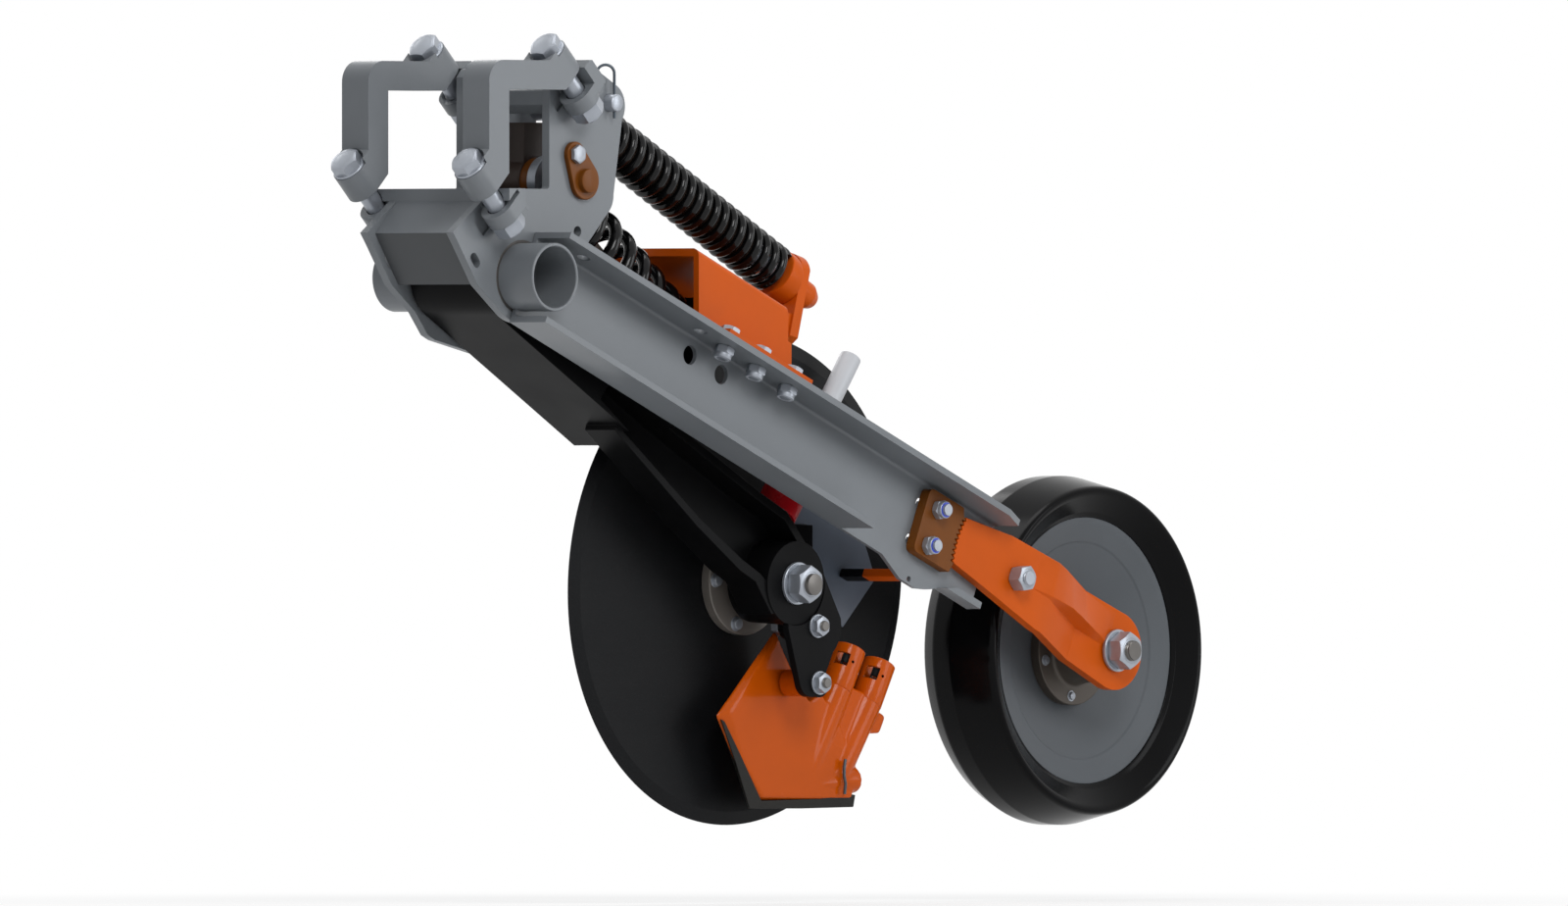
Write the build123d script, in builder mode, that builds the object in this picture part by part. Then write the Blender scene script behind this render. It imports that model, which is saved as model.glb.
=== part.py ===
from build123d import *
from math import cos, radians, sin, sqrt, tan
import os

os.makedirs("parts", exist_ok=True)

# Single disc opener row unit with its press wheel. Lengths are in millimetres.
# The origin is the centre of the square toolbar opening. +X points to the rear, where the press
# wheel runs, +Z points up, and the side with the press wheel arm is the near side, at -Y.

# Toolbar and head
bar_size = 100.0
bar_clearance = 0.5
side_plate = 10.0
side_gap = 110.0
clamp_width = 37.0
clamp_gap = 1.0
clamp_leg = 30.0
clamp_corner_radius = 22.0
clamp_bolt = 20.0
clamp_bolt_clearance = 1.0
lug_depth = 25.0
lug_face = 11.0
beam_thickness = 14.0
shield_thickness = 8.0
pivot_x = 9.0
pivot_z = -141.0
pivot_tube_diameter = 70.0
pivot_tube_wall = 3.5
pivot_tube_length = 224.0
bush_wall = 3.0
running_clearance = 0.06
plate_boss_radius = 47.0

# Spring pins in the head
upper_pin_x = 141.0
upper_pin_z = 38.0
upper_pin = 18.0
upper_pin_length = 154.0
clip_wire = 3.0
lower_pin_x = 100.0
lower_pin_z = -42.0
lower_pin = 25.0
keeper_thickness = 6.0
keeper_bolt = 8.0
keeper_bolt_x = 85.0
keeper_bolt_z = -15.0

# Press frame: a rolled channel on the pivot tube
frame_slope = 23.0
channel_height = 100.0
channel_width = 50.0
channel_web = 5.0
channel_flange = 6.7
channel_length = 755.0
channel_gap = 1.0
flange_end = 540.0
lug_drop = 13.0
web_hole = 20.0
web_hole_first = 258.7
web_hole_spacing = 51.4
web_hole_up = 24.0
flange_hole = 14.0
flange_hole_first = 51.0
flange_hole_spacing = 192.0
bridge_bolt = 12.0
bridge_bolt_first = 284.0
bridge_bolt_pitch = 52.0

# Bridge bracket over the lower spring
bridge_wall = 7.5
bridge_near = 70.0
bridge_far = 62.0
bridge_front = 271.0
bridge_back = 407.0
bridge_top = -110.4
bridge_roof_slope = 23.4
bridge_foot_width = 38.0

# Upper spring strut
upper_slope = 28.1
upper_spring_diameter = 52.0
upper_wire = 9.0
upper_coils = 16
upper_guide = 35.0
upper_rod = 20.0
upper_seat_clearance = 3.0
upper_spring_start = 42.0
upper_seat_distance = 388.0
seat_plate_lean = 15.2
seat_plate_thickness = 12.6
seat_plate_half_width = 22.0
seat_cup_length = 16.0

# Lower spring strut
lower_slope = 38.8
lower_spring_diameter = 80.0
lower_wire = 14.0
lower_coils = 7
lower_rod = 16.0
lower_spring_start = 42.0
lower_seat_distance = 246.0
lower_seat_thickness = 10.0
lower_seat_clearance = 4.5
lower_rod_tail = 64.0

# Wheel arm and its toothed lock
arm_thickness = 12.0
arm_gap = 0.3
arm_pivot_along = 796.0
arm_pivot_bolt = 16.0
arm_half_width = 41.0
arm_reach = 193.5
arm_joggle = 23.0
arm_rib_bulge = 18.0
tooth_radius = 99.0
tooth_depth = 3.5
tooth_pitch = 4.0
tooth_count = 10
lock_length = 57.0
lock_bolt = 12.0
lock_bolt_along = 657.0
lock_bolt_spacing = 40.0
lock_travel = 15.0

# Press wheel
wheel_radius = 181.5
wheel_lip_radius = 169.0
wheel_rim_radius = 139.0
wheel_width = 101.0
wheel_dish = 22.0
wheel_toe = 2.18
wheel_setback = 69.5
rim_thickness = 5.0
hub_flange = 114.0
hub_flange_thickness = 12.0
hub_bolt_circle = 95.0
hub_bolt = 12.0
hub_bolt_count = 5
hub_body = 64.0
bearing_outer = 52.0
bearing_width = 15.0
axle = 25.0
axle_end = 22.0
axle_nut_across = 34.0
axle_nut_height = 18.0
axle_washer = 44.0
axle_washer_thickness = 4.0

# Disc and its arm
disc_diameter = 508.0
disc_thickness = 5.0
disc_x = 446.7
disc_z = -451.0
disc_near_y = 36.0
disc_lean = 2.75
disc_edge_bevel = 14.0
disc_arm_clearance = 5.0
disc_arm_channel_near = 42.0
disc_arm_plate = 8.0
disc_axle_reach = 80.6
disc_boss_radius = 43.5
pivot_boss_radius = 44.0
post_diameter = 23.0
post_lean = 35.8
post_height = 213.0
post_foot_diameter = 25.0
post_foot_height = 44.0
sleeve_diameter = 46.0
sleeve_height = 30.0
guard_thickness = 3.0

# Seed boot
boot_bracket_near = 45.0
boot_bracket_thickness = 8.0
boot_bolt = 12.0
boot_half_thickness = 14.0
boot_centre_y = 12.0
inlet_outer = 34.0
inlet_bore = 27.0
inlet_depth = 60.0
inlet_lean = 28.0

# Sizes that follow from the ones above
notch = bar_size / 2 + bar_clearance
plate_in = side_gap / 2
plate_out = plate_in + side_plate
clamp_in = plate_out + clamp_gap
disc_arm_half_width = plate_in - disc_arm_clearance
clamp_out = clamp_in + clamp_width
clamp_mid = (clamp_in + clamp_out) / 2
root2 = sqrt(2)
clamp_bolt_offset = notch * root2 + clamp_bolt / 2 + 2
tube_radius = pivot_tube_diameter / 2
bush_inner = tube_radius + running_clearance
bush_outer = bush_inner + bush_wall
web_far = plate_out + channel_gap
web_near = web_far + channel_web
flange_near = web_far + channel_width
half_height = channel_height / 2
arm_far = web_near + arm_gap
arm_near = arm_far + arm_thickness


def side_plane(y):
    """Sketch plane at depth y that looks along +Y: its x is +X, its y is +Z, it grows to -Y."""
    return Plane.XZ.offset(-y)


def frame_plane(y):
    """The same, turned to the slope of the press frame: x runs along the channel from the pivot."""
    slope = radians(frame_slope)
    return Plane(origin=(pivot_x, y, pivot_z), x_dir=(cos(slope), 0, -sin(slope)), z_dir=(0, -1, 0))


def frame_point(along, up):
    """X and Z of a point given along the channel and at right angles to it."""
    slope = radians(frame_slope)
    return (
        pivot_x + along * cos(slope) + up * sin(slope),
        pivot_z - along * sin(slope) + up * cos(slope),
    )


def channel_plan(up):
    """Plane that lies like the channel flanges: x runs along the channel and y is +Y."""
    slope = radians(frame_slope)
    x, z = frame_point(0, up)
    return Plane(origin=(x, 0, z), x_dir=(cos(slope), 0, -sin(slope)), z_dir=(sin(slope), 0, cos(slope)))


def frame_bolt_plane(along, y, up):
    """Plane on the channel flange whose normal points away from the flange, downwards."""
    slope = radians(frame_slope)
    x, z = frame_point(along, up)
    return Plane(origin=(x, y, z), x_dir=(0, 1, 0), z_dir=(-sin(slope), 0, -cos(slope)))


def strut_plane(x, z, slope, distance):
    """Plane across a spring strut that starts at a pin and runs down to the rear."""
    run = cos(radians(slope))
    drop = sin(radians(slope))
    return Plane(
        origin=(x + distance * run, 0, z - distance * drop), x_dir=(0, 1, 0), z_dir=(run, 0, -drop)
    )


def upper_plane(distance):
    return strut_plane(upper_pin_x, upper_pin_z, upper_slope, distance)


def lower_plane(distance):
    return strut_plane(lower_pin_x, lower_pin_z, lower_slope, distance)


def clamp_axis(side, y, along):
    """Plane across a clamp bolt. side 1 is the rear top corner of the bar, -1 the front bottom."""
    out = side * clamp_bolt_offset / root2
    step = along / root2
    return Plane(origin=(out + step, y, out - step), x_dir=(0, 1, 0), z_dir=(1, 0, -1))


def corner_plane(side, y):
    """Sketch plane at a bar corner: x runs along the clamp bolt, y points away from the bar."""
    return Plane(origin=(0, y, 0), x_dir=(1, 0, -1), z_dir=(0, -side, 0))


def hex_bolt(plane, shank, across, head, length):
    """Hexagon bolt whose head stands behind the plane and whose shank runs along its normal."""
    with BuildPart() as bolt:
        with BuildSketch(plane):
            RegularPolygon(across / 2, 6, major_radius=False)
        extrude(amount=-head)
        with BuildSketch(plane):
            Circle(shank / 2)
        extrude(amount=length)
    return bolt.part


def hex_nut(plane, bore, across, height):
    """Hexagon nut that stands on the plane."""
    with BuildPart() as nut:
        with BuildSketch(plane):
            RegularPolygon(across / 2, 6, major_radius=False)
            Circle(bore / 2 + running_clearance, mode=Mode.SUBTRACT)
        extrude(amount=height)
    return nut.part


def ring(plane, outer, inner, length):
    """Plain ring or bush that stands on the plane."""
    with BuildPart() as piece:
        with BuildSketch(plane):
            Circle(outer / 2)
            Circle(inner / 2, mode=Mode.SUBTRACT)
        extrude(amount=length)
    return piece.part


def save(builder, name):
    """Label a finished piece and write it to its own file."""
    builder.part.label = name
    export_step(builder.part, "parts/" + name + ".step")


# Clamp straps: a leg on top of the bar and one in front, each ending in a slanted ear
ear_in = notch * root2 - 9
ear_near = -49.5
ear_far = -8.0
ear_out = clamp_bolt_offset + 11.5
clamp_outer = notch + clamp_leg
with BuildPart() as clamp_half:
    with BuildSketch(side_plane(clamp_out)):
        with BuildLine():
            Polyline(
                (-clamp_outer, clamp_outer),
                (-notch, notch),
                (notch - 12, notch),
                (notch - 12, clamp_outer),
                close=True,
            )
        make_face()
    extrude(amount=clamp_width)
    with BuildSketch(corner_plane(1, clamp_out)):
        with BuildLine():
            Polyline(
                (ear_near, ear_in),
                (ear_near, ear_out - 2),
                (ear_near + 7, ear_out),
                (ear_far - 6, ear_out),
                (ear_far, ear_out - 13),
                (ear_far, ear_in),
                close=True,
            )
        make_face()
    extrude(amount=clamp_width)
    with BuildSketch(side_plane(clamp_out)):
        with Locations((0, 0)):
            Rectangle(2 * notch, 2 * notch)
    extrude(amount=clamp_width, mode=Mode.SUBTRACT)
with BuildPart() as toolbar_clamp:
    add(clamp_half.part)
    mirror(clamp_half.part, about=Plane(origin=(0, 0, 0), z_dir=(1, 0, 1)))
    fillet(
        toolbar_clamp.edges().filter_by(Axis.Y).sort_by_distance((-clamp_outer, clamp_mid, clamp_outer))[0],
        clamp_corner_radius,
    )
    for side in (1, -1):
        with BuildSketch(clamp_axis(side, clamp_mid, ear_near)):
            Circle(clamp_bolt / 2 + clamp_bolt_clearance)
        extrude(amount=ear_far - ear_near, mode=Mode.SUBTRACT)
        with BuildSketch(clamp_axis(side, clamp_mid, ear_near)):
            Circle(clamp_bolt)
        extrude(amount=-2 * clamp_leg, mode=Mode.SUBTRACT)
with BuildPart() as toolbar_clamps:
    add(toolbar_clamp.part)
    mirror(toolbar_clamp.part, about=Plane.XZ)
save(toolbar_clamps, "toolbar_clamps")

clamp_nut_seat = lug_face + lug_depth
clamp_nut_height = 16.0
clamp_bolt_length = clamp_nut_seat - ear_near + clamp_nut_height + 5
clamp_places = [(side, sign * clamp_mid) for side in (1, -1) for sign in (1, -1)]
with BuildPart() as clamp_bolts:
    for side, y in clamp_places:
        add(hex_bolt(clamp_axis(side, y, ear_near), clamp_bolt, 30, 12.5, clamp_bolt_length))
save(clamp_bolts, "clamp_bolts")
with BuildPart() as clamp_nuts:
    for side, y in clamp_places:
        add(hex_nut(clamp_axis(side, y, clamp_nut_seat), clamp_bolt, 30, clamp_nut_height))
save(clamp_nuts, "clamp_nuts")

# Front beam: passes through both side plates, with a lug for a clamp bolt at each end
lug_in = clamp_bolt_offset - clamp_bolt / 2 - 9
lug_out = clamp_bolt_offset + clamp_bolt + 1
shield_top = (-notch - 26, -notch - 54.5)
shield_foot = (-notch + 3, -notch - 98)
with BuildPart() as front_beam:
    with BuildSketch(corner_plane(-1, -clamp_out)):
        with BuildLine():
            Polyline(
                (lug_face, lug_in),
                (lug_face, lug_out - 8),
                (lug_face + 5, lug_out),
                (lug_face + lug_depth, lug_out),
                (lug_face + lug_depth, lug_in),
                close=True,
            )
        make_face()
    extrude(amount=2 * clamp_out)
    with BuildSketch(side_plane(clamp_out)):
        with BuildLine():
            Polyline(
                (-notch, -notch),
                (-notch, -notch - 13),
                (-notch + 16, -notch - 26),
                (-notch + 24, -notch - 23),
                (-notch + 24, -notch),
                close=True,
            )
        make_face()
    extrude(amount=2 * clamp_out)
    with BuildSketch(side_plane(plate_in)):
        with BuildLine():
            Polyline(
                (-notch, -notch - 13),
                (-notch - 31.5, -notch - 45.5),
                shield_top,
                shield_foot,
                (shield_foot[0] + shield_thickness, shield_foot[1] + 4),
                (shield_top[0] + shield_thickness + 3, shield_top[1] + 2),
                (-notch + 12, -notch - 24),
                (-notch + 12, -notch - 8),
                (-notch, -notch - 8),
                close=True,
            )
        make_face()
    extrude(amount=side_gap)
    for y in (-clamp_mid, clamp_mid):
        with BuildSketch(clamp_axis(-1, y, lug_face - 12)):
            Circle(clamp_bolt / 2 + clamp_bolt_clearance)
        extrude(amount=lug_depth + 20, mode=Mode.SUBTRACT)
        with BuildSketch(clamp_axis(-1, y, clamp_nut_seat)):
            Circle(clamp_bolt)
        extrude(amount=2 * clamp_bolt, mode=Mode.SUBTRACT)
save(front_beam, "front_beam")

# Rear beam: behind the top of the bar, with a lip at each end that backs up the clamp ears
lip_in = ear_out + 1.0
lip_out = lip_in + beam_thickness
with BuildPart() as rear_beam:
    with BuildSketch(corner_plane(1, clamp_out)):
        with BuildLine():
            Polyline(
                (lug_face, lug_in),
                (lug_face, lip_in),
                (lug_face + beam_thickness, lip_in),
                (lug_face + beam_thickness, lug_in),
                close=True,
            )
        make_face()
    extrude(amount=2 * clamp_out)
    with BuildSketch(side_plane(plate_in)):
        with BuildLine():
            Polyline(
                (notch, notch),
                (notch, notch - 15),
                (notch + 12, notch - 24),
                (notch + 14, notch + 4),
                close=True,
            )
        make_face()
    extrude(amount=side_gap)
    for y in (clamp_out, -clamp_in):
        with BuildSketch(corner_plane(1, y)):
            with BuildLine():
                Polyline(
                    (lug_face, lug_in),
                    (lug_face, lip_in),
                    (ear_far, lip_in),
                    (ear_far, lip_out - 3),
                    (ear_far + 3, lip_out),
                    (lug_face + 13, lip_out),
                    (lug_face + lug_depth, clamp_bolt_offset + 10),
                    (lug_face + lug_depth, lug_in),
                    close=True,
                )
            make_face()
        extrude(amount=clamp_width)
    for y in (-clamp_mid, clamp_mid):
        with BuildSketch(clamp_axis(1, y, lug_face - 1)):
            Circle(clamp_bolt / 2 + clamp_bolt_clearance)
        extrude(amount=lug_depth + 5, mode=Mode.SUBTRACT)
        with BuildSketch(clamp_axis(1, y, clamp_nut_seat)):
            Circle(clamp_bolt)
        extrude(amount=2 * clamp_bolt, mode=Mode.SUBTRACT)
save(rear_beam, "rear_beam")


# Side plates: each is one thick plate that hooks round the bar and carries the pins and the pivot
def boss_point(angle):
    """Point of the rounded lower end of the side plate, which is concentric with the pivot."""
    return (
        pivot_x + plate_boss_radius * cos(radians(angle)),
        pivot_z + plate_boss_radius * sin(radians(angle)),
    )


def side_plate_body(y, with_tail):
    """Side plate whose inner or outer face lies at depth y and which grows towards -Y."""
    ear = (upper_pin_x, upper_pin_z)
    heel = (lower_pin_x, lower_pin_z)
    with BuildPart() as plate:
        with BuildSketch(side_plane(y)) as outline:
            with BuildLine():
                Line((-notch, -notch), (notch, -notch))
                Line((notch, -notch), (notch, notch + 14))
                Line((notch, notch + 14), (notch + 7, notch + 22))
                ThreePointArc(
                    (notch + 7, notch + 22), (ear[0] - 58, ear[1] + 39), (ear[0] - 36.4, ear[1] + 43)
                )
                Line((ear[0] - 36.4, ear[1] + 43), (ear[0] + 10, ear[1] + 18.5))
                ThreePointArc(
                    (ear[0] + 10, ear[1] + 18.5), (ear[0] + 23, ear[1] + 3), (ear[0] + 19.5, ear[1] - 17)
                )
                Line((ear[0] + 19.5, ear[1] - 17), (heel[0] + 47.5, heel[1] - 13.6))
                ThreePointArc(
                    (heel[0] + 47.5, heel[1] - 13.6),
                    (heel[0] + 45.5, heel[1] - 24),
                    (heel[0] + 39.4, heel[1] - 32.3),
                )
                Line((heel[0] + 39.4, heel[1] - 32.3), boss_point(-44.7))
                ThreePointArc(boss_point(-44.7), boss_point(-95), boss_point(-131))
                Line(boss_point(-131), (pivot_x - 66, pivot_z - 8))
                Line((pivot_x - 66, pivot_z - 8), (-notch - 35.4, -notch - 56.2))
                Line((-notch - 35.4, -notch - 56.2), (-notch - 43.5, -notch - 45.1))
                Line((-notch - 43.5, -notch - 45.1), (-notch, -notch - 12.5))
                Line((-notch, -notch - 12.5), (-notch, -notch))
            make_face()
            fillet(outline.vertices().sort_by_distance((notch, -notch, 0))[0], 3)
        extrude(amount=side_plate)
        if with_tail:
            with BuildSketch(side_plane(y)):
                with BuildLine():
                    Polyline(
                        boss_point(-131),
                        (pivot_x - 12, pivot_z - 59),
                        (pivot_x - 1, pivot_z - 64),
                        (pivot_x + 89, pivot_z - 84),
                        (heel[0] + 30, heel[1] - 138),
                        (heel[0] + 39.4, heel[1] - 32.3),
                        (pivot_x, pivot_z),
                        close=True,
                    )
                make_face()
            extrude(amount=side_plate)
        with BuildSketch(side_plane(y)):
            with Locations((pivot_x, pivot_z)):
                Circle(bush_outer)
            with Locations(ear):
                Circle(upper_pin / 2 + running_clearance)
            with Locations(heel):
                Circle(lower_pin / 2 + running_clearance)
            with Locations((keeper_bolt_x, keeper_bolt_z)):
                Circle(keeper_bolt / 2 + running_clearance)
            with Locations((pivot_x + 84, pivot_z + 47)):
                Circle(5.5)
            with Locations((pivot_x - 69.5, pivot_z + 17)):
                SlotOverall(17, 10, rotation=-52)
        extrude(amount=side_plate, mode=Mode.SUBTRACT)
        add(front_beam.part, mode=Mode.SUBTRACT)
        add(rear_beam.part, mode=Mode.SUBTRACT)
    return plate.part


def across_plane(x, y, z):
    """Plane across a pin that runs along Y; it grows towards -Y."""
    return Plane(origin=(x, y, z), x_dir=(1, 0, 0), z_dir=(0, -1, 0))


def near_bolt_plane(x, y, z):
    """Plane for a bolt that is put in from the near side: the head is at -Y, the shank runs to +Y."""
    return Plane(origin=(x, y, z), x_dir=(1, 0, 0), z_dir=(0, 1, 0))


with BuildPart() as side_plate_near:
    add(side_plate_body(-plate_in, False))
save(side_plate_near, "side_plate_near")
with BuildPart() as side_plate_far:
    add(side_plate_body(plate_out, True))
save(side_plate_far, "side_plate_far")

with BuildPart() as pivot_bushes:
    add(ring(across_plane(pivot_x, -plate_in, pivot_z), 2 * bush_outer, 2 * bush_inner, side_plate))
    add(ring(across_plane(pivot_x, plate_out, pivot_z), 2 * bush_outer, 2 * bush_inner, side_plate))
save(pivot_bushes, "pivot_bushes")

# Pins that carry the two spring struts, with the wire clip and the keeper that hold them
clip_y = -(upper_pin_length / 2 - 5)
with BuildPart() as upper_spring_pin:
    with BuildSketch(across_plane(upper_pin_x, upper_pin_length / 2, upper_pin_z)):
        Circle(upper_pin / 2)
    extrude(amount=upper_pin_length)
    with BuildSketch(across_plane(upper_pin_x, plate_out + 4, upper_pin_z)):
        Circle(upper_pin / 2 + 4)
    extrude(amount=4)
    with BuildSketch(Plane(origin=(upper_pin_x, clip_y, upper_pin_z - upper_pin))):
        Circle(clip_wire / 2 + running_clearance)
    extrude(amount=2 * upper_pin, mode=Mode.SUBTRACT)
save(upper_spring_pin, "upper_spring_pin")

clip_loop = 9.0
clip_centre = (upper_pin_x - clip_loop, clip_y, upper_pin_z + 30)
with BuildPart() as pin_clip:
    with BuildSketch(Plane(origin=(upper_pin_x, clip_y, upper_pin_z - 16))):
        Circle(clip_wire / 2)
    extrude(amount=46)
    with BuildSketch(Plane(origin=clip_centre, x_dir=(1, 0, 0), z_dir=(0, 0, 1))):
        with Locations((clip_loop, 0)):
            RegularPolygon(clip_wire / 2, 8)
    revolve(axis=Axis(clip_centre, (0, -1, 0)), revolution_arc=215)
save(pin_clip, "pin_clip")

keeper_out = plate_out + keeper_thickness
with BuildPart() as lower_spring_pin:
    with BuildSketch(across_plane(lower_pin_x, plate_out, lower_pin_z)):
        Circle(lower_pin / 2)
    extrude(amount=2 * plate_out)
save(lower_spring_pin, "lower_spring_pin")
with BuildPart() as pin_keeper:
    with BuildSketch(side_plane(-plate_out)):
        with Locations((lower_pin_x, lower_pin_z)):
            Circle(lower_pin / 2 + 7)
        with Locations((keeper_bolt_x, keeper_bolt_z)):
            Circle(keeper_bolt / 2 + 9)
        make_hull()
        with Locations((keeper_bolt_x, keeper_bolt_z)):
            Circle(keeper_bolt / 2 + running_clearance, mode=Mode.SUBTRACT)
    extrude(amount=keeper_thickness)
save(pin_keeper, "pin_keeper")
with BuildPart() as keeper_screw:
    add(
        hex_bolt(
            near_bolt_plane(keeper_bolt_x, -keeper_out, keeper_bolt_z),
            keeper_bolt,
            13,
            5.5,
            keeper_thickness + side_plate,
        )
    )
save(keeper_screw, "keeper_screw")

# Press frame: the pivot tube, and the channel whose flanges point to the near side
with BuildPart() as pivot_tube:
    add(
        ring(
            across_plane(pivot_x, pivot_tube_length / 2, pivot_z),
            pivot_tube_diameter,
            pivot_tube_diameter - 2 * pivot_tube_wall,
            pivot_tube_length,
        )
    )
save(pivot_tube, "pivot_tube")

arm_pivot_up = 2.0
tongue_radius = 22.0
bridge_bolts_along = [bridge_bolt_first + i * bridge_bolt_pitch for i in range(3)]
bridge_bolt_y = -(web_near + 21)
lock_bolts_up = (-lock_bolt_spacing / 2, lock_bolt_spacing / 2)
scraper_along = 659.0
scraper_up = -half_height - 2.3
scraper_height = 9.0
scraper_width = 14.0
with BuildPart() as frame_channel:
    with BuildSketch(frame_plane(-web_far)):
        with BuildLine():
            Polyline(
                (0, -half_height),
                (0, half_height),
                (channel_length, half_height),
                (channel_length, arm_pivot_up + tongue_radius),
                (arm_pivot_along, arm_pivot_up + tongue_radius),
                (arm_pivot_along, arm_pivot_up - tongue_radius),
                (channel_length, arm_pivot_up - tongue_radius),
                (channel_length, -half_height),
                (channel_length - 54, -half_height),
                (channel_length - 69, -half_height - lug_drop + 6),
                (channel_length - 86, -half_height - lug_drop),
                (channel_length - 112, -half_height - lug_drop),
                (channel_length - 147, -half_height),
                close=True,
            )
        make_face()
        with Locations((arm_pivot_along, arm_pivot_up)):
            Circle(tongue_radius)
            Circle(arm_pivot_bolt / 2 + running_clearance, mode=Mode.SUBTRACT)
        for step in range(2):
            with Locations((web_hole_first + step * web_hole_spacing, web_hole_up)):
                Circle(web_hole / 2, mode=Mode.SUBTRACT)
        for up in lock_bolts_up:
            with Locations((lock_bolt_along - lock_travel / 2, up)):
                SlotCenterToCenter(lock_travel, lock_bolt + 2, mode=Mode.SUBTRACT)
    extrude(amount=channel_web)
    with BuildSketch(frame_plane(-web_far)):
        with Locations((channel_length / 2, half_height - channel_flange / 2)):
            Rectangle(channel_length, channel_flange)
        with Locations((flange_end / 2, -half_height + channel_flange / 2)):
            Rectangle(flange_end, channel_flange)
    extrude(amount=channel_width)
    inner_edges = [
        frame_channel.edges().sort_by_distance(
            (*frame_point(flange_end / 3, up)[:1], -web_near, frame_point(flange_end / 3, up)[1])
        )[0]
        for up in (half_height - channel_flange, -half_height + channel_flange)
    ]
    fillet(inner_edges, channel_flange / 2)
    with BuildSketch(frame_bolt_plane(0, bridge_bolt_y, half_height)):
        for step in range(2):
            with Locations((0, flange_hole_first + step * flange_hole_spacing)):
                Circle(flange_hole / 2)
        for along in bridge_bolts_along:
            with Locations((0, along)):
                Circle(bridge_bolt / 2 + 1)
    extrude(amount=channel_flange, mode=Mode.SUBTRACT)
    with BuildSketch(across_plane(pivot_x, -web_far, pivot_z)):
        Circle(tube_radius)
    extrude(amount=channel_web, mode=Mode.SUBTRACT)
save(frame_channel, "frame_channel")


# Bridge bracket: an inverted U over the lower spring, bolted on the channel, with the upper seat
def roof_z(x):
    """Height of the top of the bridge at x."""
    return bridge_top - (x - bridge_front) * tan(radians(bridge_roof_slope))


def flange_z(x):
    """Height of the top face of the channel at x."""
    slope = radians(frame_slope)
    return pivot_z + half_height / cos(slope) - (x - pivot_x) * tan(slope)


seat_centre = upper_plane(upper_seat_distance).origin
seat_lean = radians(seat_plate_lean)
seat_run = Vector(cos(seat_lean), 0, -sin(seat_lean))
seat_hole = upper_rod / 2 + upper_seat_clearance
rib_y = seat_plate_half_width - 3
wall_skew = bridge_wall / cos(radians(bridge_roof_slope))


def seat_plane(distance):
    """Plane of the upper seat plate, moved along its own normal."""
    return Plane(
        origin=seat_centre + seat_run * distance, x_dir=(0, 1, 0), z_dir=(seat_run.X, 0, seat_run.Z)
    )


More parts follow.
